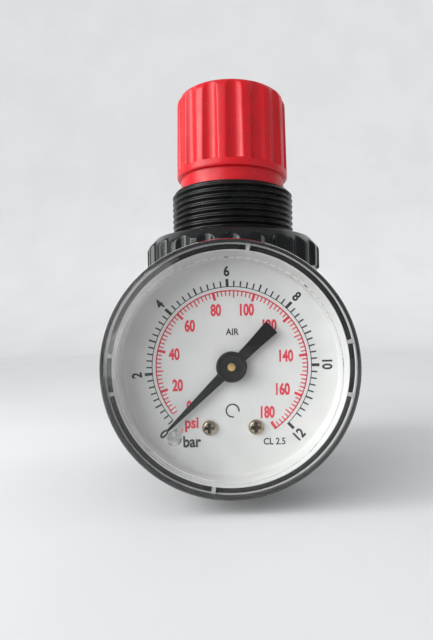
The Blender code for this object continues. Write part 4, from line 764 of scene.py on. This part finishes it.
lens_corners = [
    (0, LENS_FRONT, 0), (20.8, LENS_FRONT, 0.25), (21.1, LENS_FRONT - 0.7, 0.2),
    (23.6, LENS_FRONT - 1.8, 0.4), (24.7, LENS_FRONT - 2.7, 0.6), (LENS_R, LENS_FRONT - 3.4, 0.4),
    (LENS_R, LENS_BACK, 0.04),
    (24.88, LENS_BACK, 0.04), (24.88, LENS_FRONT - 3.55, 0.3), (22.7, LENS_FRONT - 2.8, 0.3),
    (20.4, LENS_FRONT - 1.5, 0.4), (0, LENS_FRONT - 1.5, 0),
]
lens = lathe("clear_lens_cap", lens_corners, None, 192, place=on_gauge, steps=5)
pin_corners = [(0, DIAL_FRONT + 0.4, 0), (0.6, DIAL_FRONT + 0.4, 0.15), (PIN_R, LENS_FRONT - 1.6, 0.1),
               (1.6, LENS_FRONT - 1.2, 0), (0, LENS_FRONT - 1.2, 0)]
pin = lathe("stop", pin_corners, 1.0, 48, place=on_gauge, at=dial_xy(PIN_REACH, PIN_ANGLE))
bored(lens, "UNION", pin)
fit(lens, CLEAR, "regulator", "lens_clear", "gauge_lens")

# %% Flat pieces with a broken edge
def slab(name, outline, low, high, edge, place=on_gauge):
    """A flat outline given thickness. Its front is drawn in by a small edge, so it has a bevel."""
    flat = np.asarray(outline, float)
    ahead, behind = np.roll(flat, -1, 0) - flat, flat - np.roll(flat, 1, 0)
    lengths = [np.linalg.norm(d, axis=1)[:, None] for d in (ahead, behind)]
    normals = [np.stack([d[:, 1], -d[:, 0]], -1) / n for d, n in zip((ahead, behind), lengths)]
    bisector = normals[0] + normals[1]
    bisector /= np.maximum((bisector * normals[0]).sum(1), 0.35)[:, None]
    inner = flat - bisector * edge
    n = len(flat)
    rings = [np.column_stack([flat, np.full(n, low)]), np.column_stack([flat, np.full(n, high - edge)]),
             np.column_stack([inner, np.full(n, high)])]
    faces = grid_faces(3, n) + [list(range(n))[::-1], list(range(2 * n, 3 * n))]
    return mesh_piece(name, place(np.concatenate(rings)), faces)


# %% [markdown]
# ## Rings and tabs under the lens
#
# Seen through its stepped rim, such a lens shows a dark ring, a pale ring and a few pale tabs that its bent
# light draws. A black ring of painted shade, a pale ring of painted highlight and six small pale blocks of
# painted highlight stand in for them here.


# %% Rings under the lens
# painted shade: a black ring that stands in for the dark band the lens's bent rim shows of the black cup
painted_dark_ring_corners = [
    (23.95, LENS_RIM - 0.3, 0.15), (24.84, LENS_RIM - 0.3, 0.1), (24.84, LENS_BACK + 0.1, 0.1),
    (24.15, LENS_BACK + 0.1, 0.1), (24.15, CASE_FRONT + 0.35, 0.1), (23.95, CASE_FRONT + 0.35, 0.1),
]
painted_dark_ring = lathe("lens_painted_dark_ring", painted_dark_ring_corners, 1.0, 192, ring=True, place=on_gauge)
fit(painted_dark_ring, CASE, "regulator", "rubber_black", "gauge_lens")
# painted highlight: a pale ring that stands in for the bright line the lens's bent rim draws
pale_ring_corners = [(23.72, CASE_FRONT + 0.05, 0.05), (24.12, CASE_FRONT + 0.05, 0.05),
                (24.05, CASE_FRONT + 0.3, 0.1), (23.78, CASE_FRONT + 0.3, 0.1)]
pale_ring = lathe("lens_painted_pale_ring", pale_ring_corners, None, 192, ring=True, place=on_gauge)
fit(pale_ring, PALE_RIM_HIGHLIGHT, "regulator", "seal_white", "gauge_lens")


def tab(name, clockwise, half_width=0.38):
    """One tab of the lens: a short block that crosses the cup's rim, its pale tone painted highlight from the
    lens's bent rim.
    """
    reach = np.array([22.95, 24.2, 24.2, 22.95])
    side = half_width * np.array([-0.6, -1, 1, 0.6])
    s, c = math.sin(clockwise), math.cos(clockwise)
    flat = np.stack([reach * s + side * c, reach * c - side * s], -1)
    return slab(name, flat, CASE_FRONT + 0.06, CASE_FRONT + 0.55, 0.12)


# the tabs' pale tone is painted highlight
for number, degrees in enumerate((9, 78, 103, 189, -83, -101)):
    fit(tab(f"lens_tab_highlight_{number}", math.radians(degrees)), PALE_RIM_HIGHLIGHT, "regulator", "lens_clear", "gauge_lens")

# %% [markdown]
# ## The dial
#
# The dial is a thin sheet, lacquered white and printed in two colours: bar in black outside and psi in red
# inside. Print is a layer of ink, so every mark is a flat box two hundredths of a millimetre thick that
# stands on the lacquer. All the ticks of a colour are worked out together, each from its angle, its inner and
# outer distance and its width, and the figures come from Blender's own font, pulled narrow.

# %% Dial sheet
LACQUER, RIM_TOP = DIAL_FRONT, CASE_FRONT - 0.05
dial_corners = [
    (1.6, LACQUER, 0.05), (22.2, LACQUER, 0.4), (22.6, LACQUER + 0.8, 0.4), (22.9, RIM_TOP, 0.05),
    (23.05, RIM_TOP, 0.05), (22.85, LACQUER + 0.5, 0.3), (22.5, LACQUER - 0.5, 0.2),
    (1.6, LACQUER - 0.5, 0.05),
]
dial = lathe("dial_sheet", dial_corners, 3.0, 192, ring=True, place=on_gauge)
fit(dial, DIAL, "regulator", "dial_white", "dial")

# %% Ticks and arcs
INK = 0.02
ZERO, FULL = math.radians(-134), math.radians(136)
BOX_FACES = np.array([[0, 1, 2, 3], [7, 6, 5, 4], [0, 4, 5, 1], [1, 5, 6, 2], [2, 6, 7, 3], [3, 7, 4, 0]])


def marks(angles, inner, outer, width):
    """Radial boxes of ink. A corner is inner or outer along the mark's direction (sin a, cos a), and half
    a width to one side along (cos a, -sin a)."""
    a, inner, outer, width = np.broadcast_arrays(np.asarray(angles, float), inner, outer, width)
    along = np.stack([np.sin(a), np.cos(a)], -1)[:, None]
    aside = np.stack([np.cos(a), -np.sin(a)], -1)[:, None]
    reach = np.stack([inner, outer, outer, inner], -1)[..., None]
    side = np.stack([-width, -width, width, width], -1)[..., None] / 2
    flat = along * reach + aside * side
    low = np.concatenate([flat, np.full((*flat.shape[:2], 1), LACQUER)], -1)
    high = low + [0, 0, INK]
    points = np.concatenate([low, high], 1)
    faces = (np.arange(len(a))[:, None, None] * 8 + BOX_FACES).reshape(-1, 4)
    return points.reshape(-1, 3), faces.tolist()


def arc_ring(start, end, inner, outer, count=160):
    """A flat ring of ink between two angles: a box carried along the arc in short steps."""
    a = np.linspace(start, end, count)
    corners = np.array([[inner, 0], [outer, 0], [outer, INK], [inner, INK]])
    r, z = corners[:, :1], corners[:, 1:]
    points = np.stack([r * np.sin(a), r * np.cos(a), LACQUER + z + 0 * a], -1)
    points = points.transpose(1, 0, 2).reshape(-1, 3)
    k = np.arange(count - 1)[:, None] * 4
    sides = [k + np.array([[i, (i + 1) % 4, (i + 1) % 4 + 4, i + 4]]) for i in range(4)]
    caps = np.array([[3, 2, 1, 0], [0, 1, 2, 3]]) + np.array([[0], [(count - 1) * 4]])
    return points, np.concatenate([*sides, caps]).tolist()


def printed(name, material, slot, shapes):
    """One piece of print from several lots of points and faces, which may have any number of sides."""
    points, faces, first = [], [], 0
    for p, f in shapes:
        points.append(p)
        faces += [[i + first for i in face] for face in f]
        first += len(p)
    return fit(mesh_piece(name, on_gauge(np.concatenate(points)), faces), material, "regulator", slot)


BAR = math.radians(23.05)
PSI_PER_BAR = 14.504


def bar_angle(value):
    """The dial angle of a pressure in bar. Both scales are set out backwards from 12 bar."""
    return FULL - (12 - value) * BAR


def psi_angle(value):
    """The dial angle of a pressure in psi."""
    return bar_angle(value / PSI_PER_BAR)


bar_fifths = np.arange(2, 59) / 5
kind = np.where(np.arange(2, 59) % 10 == 0, 2, np.where(np.arange(2, 59) % 5 == 0, 1, 0))
ARC_R = 16.4
bar_ends, bar_widths = np.array([17.6, 17.85, 18.0])[kind], np.array([0.3, 0.34, 0.6])[kind]
bar_marks = marks(bar_angle(bar_fifths), ARC_R, bar_ends, bar_widths)
bar_end = marks([FULL], ARC_R - 0.1, 18.0, 0.6)
bar_arc = arc_ring(bar_angle(0.4), FULL, ARC_R - 0.1, ARC_R + 0.06)
psi_twos = np.arange(8, 180, 2)
kind = np.where(psi_twos % 20 == 0, 2, np.where(psi_twos % 10 == 0, 1, 0))
psi_starts, psi_widths = np.array([14.5, 14.1, 13.95])[kind], np.array([0.25, 0.28, 0.55])[kind]
psi_marks = marks(psi_angle(psi_twos), psi_starts, 15.6, psi_widths)
psi_end = marks([psi_angle(180)], 13.95, 15.7, 0.6)
psi_arc = arc_ring(psi_angle(8), psi_angle(180), 15.42, 15.68)
print("bar marks:", len(bar_fifths), " psi marks:", len(psi_twos))


# %% Figures
FONT_HEIGHT = 0.71  # of a figure, in a font one unit high


def figures(items, size, narrow, bold):
    """Words as flat ink: (text, x, y, turn clockwise). Each is made from a font, given its thickness,
    turned into points and faces, pulled narrow and put in its place. The size is a figure's height in mm."""
    shapes = []
    for text, x, y, turn in items:
        curve = bpy.data.curves.new("word", "FONT")
        curve.body, curve.align_x, curve.align_y, curve.offset = text, "CENTER", "CENTER", bold
        curve.resolution_u, curve.extrude = 4, 0.5
        word = bpy.data.objects.new("word", curve)
        bpy.context.scene.collection.objects.link(word)
        graph = bpy.context.evaluated_depsgraph_get()
        mesh = bpy.data.meshes.new_from_object(word.evaluated_get(graph))
        co = np.empty(len(mesh.vertices) * 3, np.float32)
        mesh.vertices.foreach_get("co", co)
        p = co.reshape(-1, 3).astype(float)
        scale = size / FONT_HEIGHT
        middle = (p.min(0) + p.max(0)) / 2
        p = (p - middle) * [scale * narrow, scale, INK] + [0, 0, INK / 2]
        c, s = math.cos(turn), math.sin(turn)
        right, up = x + p[:, 0] * c + p[:, 1] * s, y - p[:, 0] * s + p[:, 1] * c
        placed = np.stack([right, up, LACQUER + p[:, 2]], -1)
        shapes.append((placed, [list(f.vertices) for f in mesh.polygons]))
        bpy.data.objects.remove(word)
        bpy.data.curves.remove(curve)
        bpy.data.meshes.remove(mesh)
    return shapes


FIGURE_R = 19.6
bar_words = []
for value in range(0, 14, 2):
    a = bar_angle(value) if value else ZERO
    turn = a if value < 12 else a + math.pi
    bar_words.append((str(value), FIGURE_R * math.sin(a), FIGURE_R * math.cos(a), turn))
psi_places = {"0": (-8.9, -8.1), "20": (-11.2, -3.7), "40": (-11.8, 2.7), "60": (-8.5, 8.5),
              "80": (-3.1, 11.6), "100": (3.3, 11.6), "120": (7.9, 8.3), "140": (11.2, 2.0),
              "160": (10.4, -4.8), "180": (7.2, -9.5)}
psi_words = [(word, x, y, 0.0) for word, (x, y) in psi_places.items()]
printed("bar_scale", BLACK_INK, "pointer_black", [bar_marks, bar_end, bar_arc])
printed("psi_scale", RED_INK, "knob_red", [psi_marks, psi_end, psi_arc])
small_words = [("CL 2.5", 8.5, -15.5, 0.0), ("AIR", 0.2, 7.1, 0.0)]
black_words = figures(bar_words, 2.0, 0.85, 0.032) + figures([("bar", -8.4, -15.3, 0.0)], 2.3, 0.85, 0.03)
printed("bar_figures", BLACK_INK, "pointer_black", black_words + figures(small_words, 1.35, 0.9, 0.02))
red_words = figures(psi_words, 2.3, 0.66, 0.04) + figures([("psi", -8.4, -11.8, 0.0)], 2.3, 0.8, 0.035)
printed("psi_figures", RED_INK, "knob_red", red_words)
open_ring, ring_faces = arc_ring(math.radians(170), math.radians(460), 1.15, 1.45, 48)
printed("class_mark", BLACK_INK, "pointer_black", [(open_ring + [0, -9.1, 0], ring_faces)])

# %% [markdown]
# ## The pointer and its screws
#
# The pointer is a stamped blade on a turned hub, painted black, pressed onto a brass arbor whose end shows
# in the middle. The blade is a flat outline with a height, and its edge is broken by a small bevel. The two
# nickel screws hold the dial to the movement, and each has a cross recess with sloping walls.


# %% Pointer
def turn_flat(outline, angle):
    """An outline turned clockwise about the dial's middle."""
    c, s = math.cos(angle), math.sin(angle)
    return np.asarray(outline) @ np.array([[c, -s], [s, c]])


blade = [(1.6, -11.5), (1.25, -6.4), (1.0, 0), (1.0, 3.15), (0.28, 18.1), (0, 18.4), (-0.28, 18.1),
         (-1.0, 3.15), (-1.0, 0), (-1.25, -6.4), (-1.6, -11.5)]
blade = slab("pointer_blade", turn_flat(blade, ZERO), POINTER_FRONT - 1.1, POINTER_FRONT - 0.6, 0.08)
fit(blade, POINTER, "pointer", "pointer_black", "pointer")
hub_corners = [
    (0.95, POINTER_FRONT - 0.35, 0.05), (2.45, POINTER_FRONT - 0.35, 0.12), (2.6, POINTER_FRONT, 0.1),
    (3.15, POINTER_FRONT, 0.25), (3.15, POINTER_FRONT - 1.15, 0.1), (0.95, POINTER_FRONT - 1.15, 0.05),
]
hub = lathe("pointer_hub", hub_corners, None, 96, ring=True, place=on_gauge)
fit(hub, POINTER, "pointer", "pointer_black", "pointer")


# %% Cross-head screws
def crosshead(name, x, y, low, high, radius, shank_r, shank_end, place=on_gauge):
    """A cheese head with a domed top. The cross is a dip in height, deepest at the middle, along two bars."""
    arm = 0.62 * radius
    def recess(r, z, a):
        """The cross, as a dip in height that grows towards the middle."""
        u, v = np.abs(r * np.cos(a)), np.abs(r * np.sin(a))
        bar = np.minimum(np.maximum(u / arm, v / 0.3), np.maximum(v / arm, u / 0.3))
        dip = 1 - smooth_step(bar, 0.85, 1.15)
        return r, z - 0.75 * dip * (1 - r / (2 * arm)).clip(0, 1) * (z > high - 0.35) * (r < arm * 1.2)
    corners = [(0, high, 0), (0.7 * radius, high - 0.05, 0.2), (radius, high - 0.4, 0.3), (radius, low, 0.08),
               (shank_r, low, 0.05), (shank_r, shank_end, 0.1), (0, shank_end, 0)]
    return lathe(name, corners, 0.09, 96, recess, place=place, at=(x, y))


def darken_recess(screw, x, y, radius, outward, front):
    """Gives the faces sunk into the cross a darker finish: painted shade, for the shadow that falls inside
    the recess.
    """
    n = len(screw.data.polygons)
    middle = np.empty(n * 3, np.float32)
    screw.data.polygons.foreach_get("center", middle)
    p = middle.reshape(-1, 3) / MM
    near = np.hypot(p[:, 0] - x, p[:, 2] - GAUGE_HEIGHT - y) < 0.7 * radius
    sunk = near & (p[:, 1] * outward < front - 0.14) & (p[:, 1] * outward > front - 0.9)
    # painted shade on the sunk faces of the cross
    screw.data.materials.append(RECESS_SHADE)
    screw.data.polygons.foreach_set("material_index", sunk.astype(np.int32))


def backwards(p):
    """A flat drawing laid on the back of the gauge case: its z runs to the back."""
    return np.stack([p[..., 0], p[..., 2], GAUGE_HEIGHT + p[..., 1]], -1)


DIAL_SCREW_X, DIAL_SCREW_Y, DIAL_SCREW_R, DIAL_SCREW_END, CASE_SCREW_R = 4.75, -12.5, 1.55, 30.4, 1.6
SEATED, HEAD = DIAL_FRONT + 0.1, 0.9
for side, name in ((-1, "left"), (1, "right")):
    x, y, front = side * DIAL_SCREW_X, DIAL_SCREW_Y, SEATED + HEAD
    screw = crosshead(f"dial_screw_head_{name}", x, y, SEATED, front, DIAL_SCREW_R, 0.6, DIAL_SCREW_END)
    fit(screw, NICKEL, "regulator", "nickel_screw", f"dial_screw_{name}")
    darken_recess(screw, x, y, DIAL_SCREW_R, -1, front)
for side, name in ((-1, "left"), (1, "right")):
    x, (_, inner, _), (_, outer, _) = side * CASE_SCREW_X, *span(f"case_screw_{name}")
    screw = crosshead(f"case_screw_head_{name}", x, 0, outer - 1, outer, CASE_SCREW_R, 0.9, inner, backwards)
    fit(screw, NICKEL, "regulator", "nickel_screw", f"case_screw_{name}")
    darken_recess(screw, x, 0, CASE_SCREW_R, 1, outer)

# %% [markdown]
# ## Springs
#
# A compression spring is one round wire on a helix, with its end turns closed up so that they sit flat.
# The surface is a circle carried along that path: the circle lies in the plane of the outward direction and
# the direction square to the path. Each spring shortens as the piece above it comes down.


# %% Springs
def coil_spring(name, radius, wire, low, high, turns, sides=14, per_turn=48):
    """The wire's middle climbs from one end to the other, slowly over the last turn at each end."""
    s = np.linspace(0, 1, turns * per_turn + 1)
    lift = smooth_step(s, 0, 1) * 0.55 + s * 0.45
    a = s * turns * 2 * np.pi
    height = low + wire + (high - low - 2 * wire) * lift
    out = np.stack([np.cos(a), np.sin(a), 0 * a], -1)
    path = out * radius + np.stack([0 * a, 0 * a, height], -1)
    along = np.gradient(path, axis=0)
    along /= np.linalg.norm(along, axis=1)[:, None]
    over = np.cross(along, out)
    b = around(sides)[:, None, None]
    skin = path + wire * (np.cos(b) * out + np.sin(b) * over)
    rows = skin.transpose(1, 0, 2)
    last = (len(s) - 1) * sides
    ends = [list(range(sides)), list(range(last, last + sides))[::-1]]
    return mesh_piece(name, rows, grid_faces(len(s), sides) + ends)


# Each spring: the radius of its coil and of its wire, its turns, the joint that moves the piece above it and
# that joint's stroke.
SPRINGS = {
    "range_spring": (8.2, 0.9, 5, "seat_travel", 6.0),
    "valve_spring": (3.4, 0.4, 5, "valve_lift", 0.9),
}
for node_name, (radius, wire, turns, joint, stroke) in SPRINGS.items():
    low, high = span(node_name)[0][2], span(node_name)[1][2]
    spring = coil_spring(f"{node_name}_wire", radius, wire, low, high, turns)
    fit(spring, SPRING, "regulator", "spring_steel", node_name)
    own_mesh(spring)

# %% [markdown]
# ## The parts that keep their solid
#
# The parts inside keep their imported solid, because its shape is already right, and take a proper finish.

# %% Finishes for the inner parts
INNER = {
    "adjusting_screw": STEEL, "screw_clip": STEEL, "diaphragm_plate": STEEL, "hub_nut": STEEL,
    "spring_seat": ACETAL, "diaphragm": RUBBER, "valve_disc": RUBBER,
    "plug_ring": RUBBER, "stem_ring": RUBBER,
    "diaphragm_hub": VALVE_BRASS, "valve_poppet": VALVE_BRASS, "valve_seat": VALVE_BRASS,
    "gauge_socket": BRASS, "pointer_arbor": BRASS, "sector_gear": BRASS, "sector_link": BRASS,
    "movement_front": BRASS, "movement_back": BRASS, "tube_tip": BRASS,
    "rear_seal": SEAL, "gauge_seal": SEAL, "pressure_tube": BRONZE, "hairspring": BRONZE,
}
for node_name, material in INNER.items():
    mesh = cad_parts[node_name].data
    mesh.materials.clear()
    mesh.materials.append(material)
print("inner parts:", len(INNER))

# %% [markdown]
# ## Floor, light and camera
#
# A large pale floor runs on into a backdrop of the same tone, so there is no line between them. The main
# light is a wide soft sun from the upper left in front. A tall soft box at the left draws the bright strips
# down the knob's lands and the thread. A pale sky fills in the rest, and it is dimmer in reflections, so that
# black plastic stays black.


# %% Floor
def stage_sheet():
    """A floor that bends up into a wall: a line back, a quarter circle and a line up, all one width."""
    back, bend, high, wide = 900, 300, 1500, 2500
    t = np.linspace(0, np.pi / 2, 25)
    y = np.concatenate([[-1500], back - bend + bend * np.sin(t), [back]])
    z = np.concatenate([[0], bend - bend * np.cos(t), [high]])
    rows = np.stack([np.stack([np.full_like(y, side * wide), y, z], -1) for side in (-1, 1)], 1)
    first = np.arange(len(y) - 1)[:, None] * 2
    faces = (first + np.array([[0, 1, 3, 2]])).tolist()
    return mesh_piece("studio_floor", rows, faces)


floor = stage_sheet()
PAPER = finish("studio_paper", (0.74, 0.745, 0.75), (0.77, 0.775, 0.78), (0.85, 0.95), 300, 0.02, 0.0)
floor.data.materials.append(PAPER)


# %% Light
def soft_box(name, at, toward, width, height, watts):
    """A rectangular area light that faces a point. Places are in millimetres."""
    lamp = bpy.data.lights.new(name, "AREA")
    lamp.shape, lamp.size, lamp.size_y = "RECTANGLE", width * MM, height * MM
    lamp.energy = watts
    box = bpy.data.objects.new(name, lamp)
    box.location = Vector(at) * MM
    box.rotation_euler = (Vector(toward) - Vector(at)).to_track_quat("-Z", "Y").to_euler()
    bpy.context.scene.collection.objects.link(box)
    return box


sun = bpy.data.lights.new("window_light", "SUN")
sun.energy, sun.angle = 1.4, math.radians(50)
window = bpy.data.objects.new("window_light", sun)
window.rotation_euler = Vector((0.68, 0.6, -0.38)).to_track_quat("-Z", "Y").to_euler()
bpy.context.scene.collection.objects.link(window)
strip = soft_box("left_strip", (-230, -90, 120), (0, 0, 60), 110, 300, 0.5)
strip.visible_transmission = False
world = bpy.data.worlds.new("studio_air")
world.use_nodes = True
world.node_tree.nodes["Background"].inputs["Color"].default_value = (0.98, 0.99, 1.0, 1)
seen = node(world.node_tree, "ShaderNodeLightPath").outputs["Is Glossy Ray"]
dimmed = node(world.node_tree, "ShaderNodeMapRange", None, Value=seen, **{"To Min": 0.7, "To Max": 0.28})
world.node_tree.links.new(dimmed.outputs[0], world.node_tree.nodes["Background"].inputs["Strength"])
bpy.context.scene.world = world
bpy.context.scene.view_settings.view_transform = "Standard"

# %% Camera
camera_data = bpy.data.cameras.new("camera")
camera_data.lens, camera_data.sensor_width = 29.1, 36
camera_data.shift_x, camera_data.shift_y = -0.048, 0.016
camera_data.clip_start, camera_data.clip_end = 0.005, 20
camera = bpy.data.objects.new("camera", camera_data)
camera.location = Vector((3.3, -139.4, 35.4)) * MM
camera.rotation_euler = (math.radians(90), math.radians(1.0), 0)
bpy.context.scene.collection.objects.link(camera)
bpy.context.scene.camera = camera
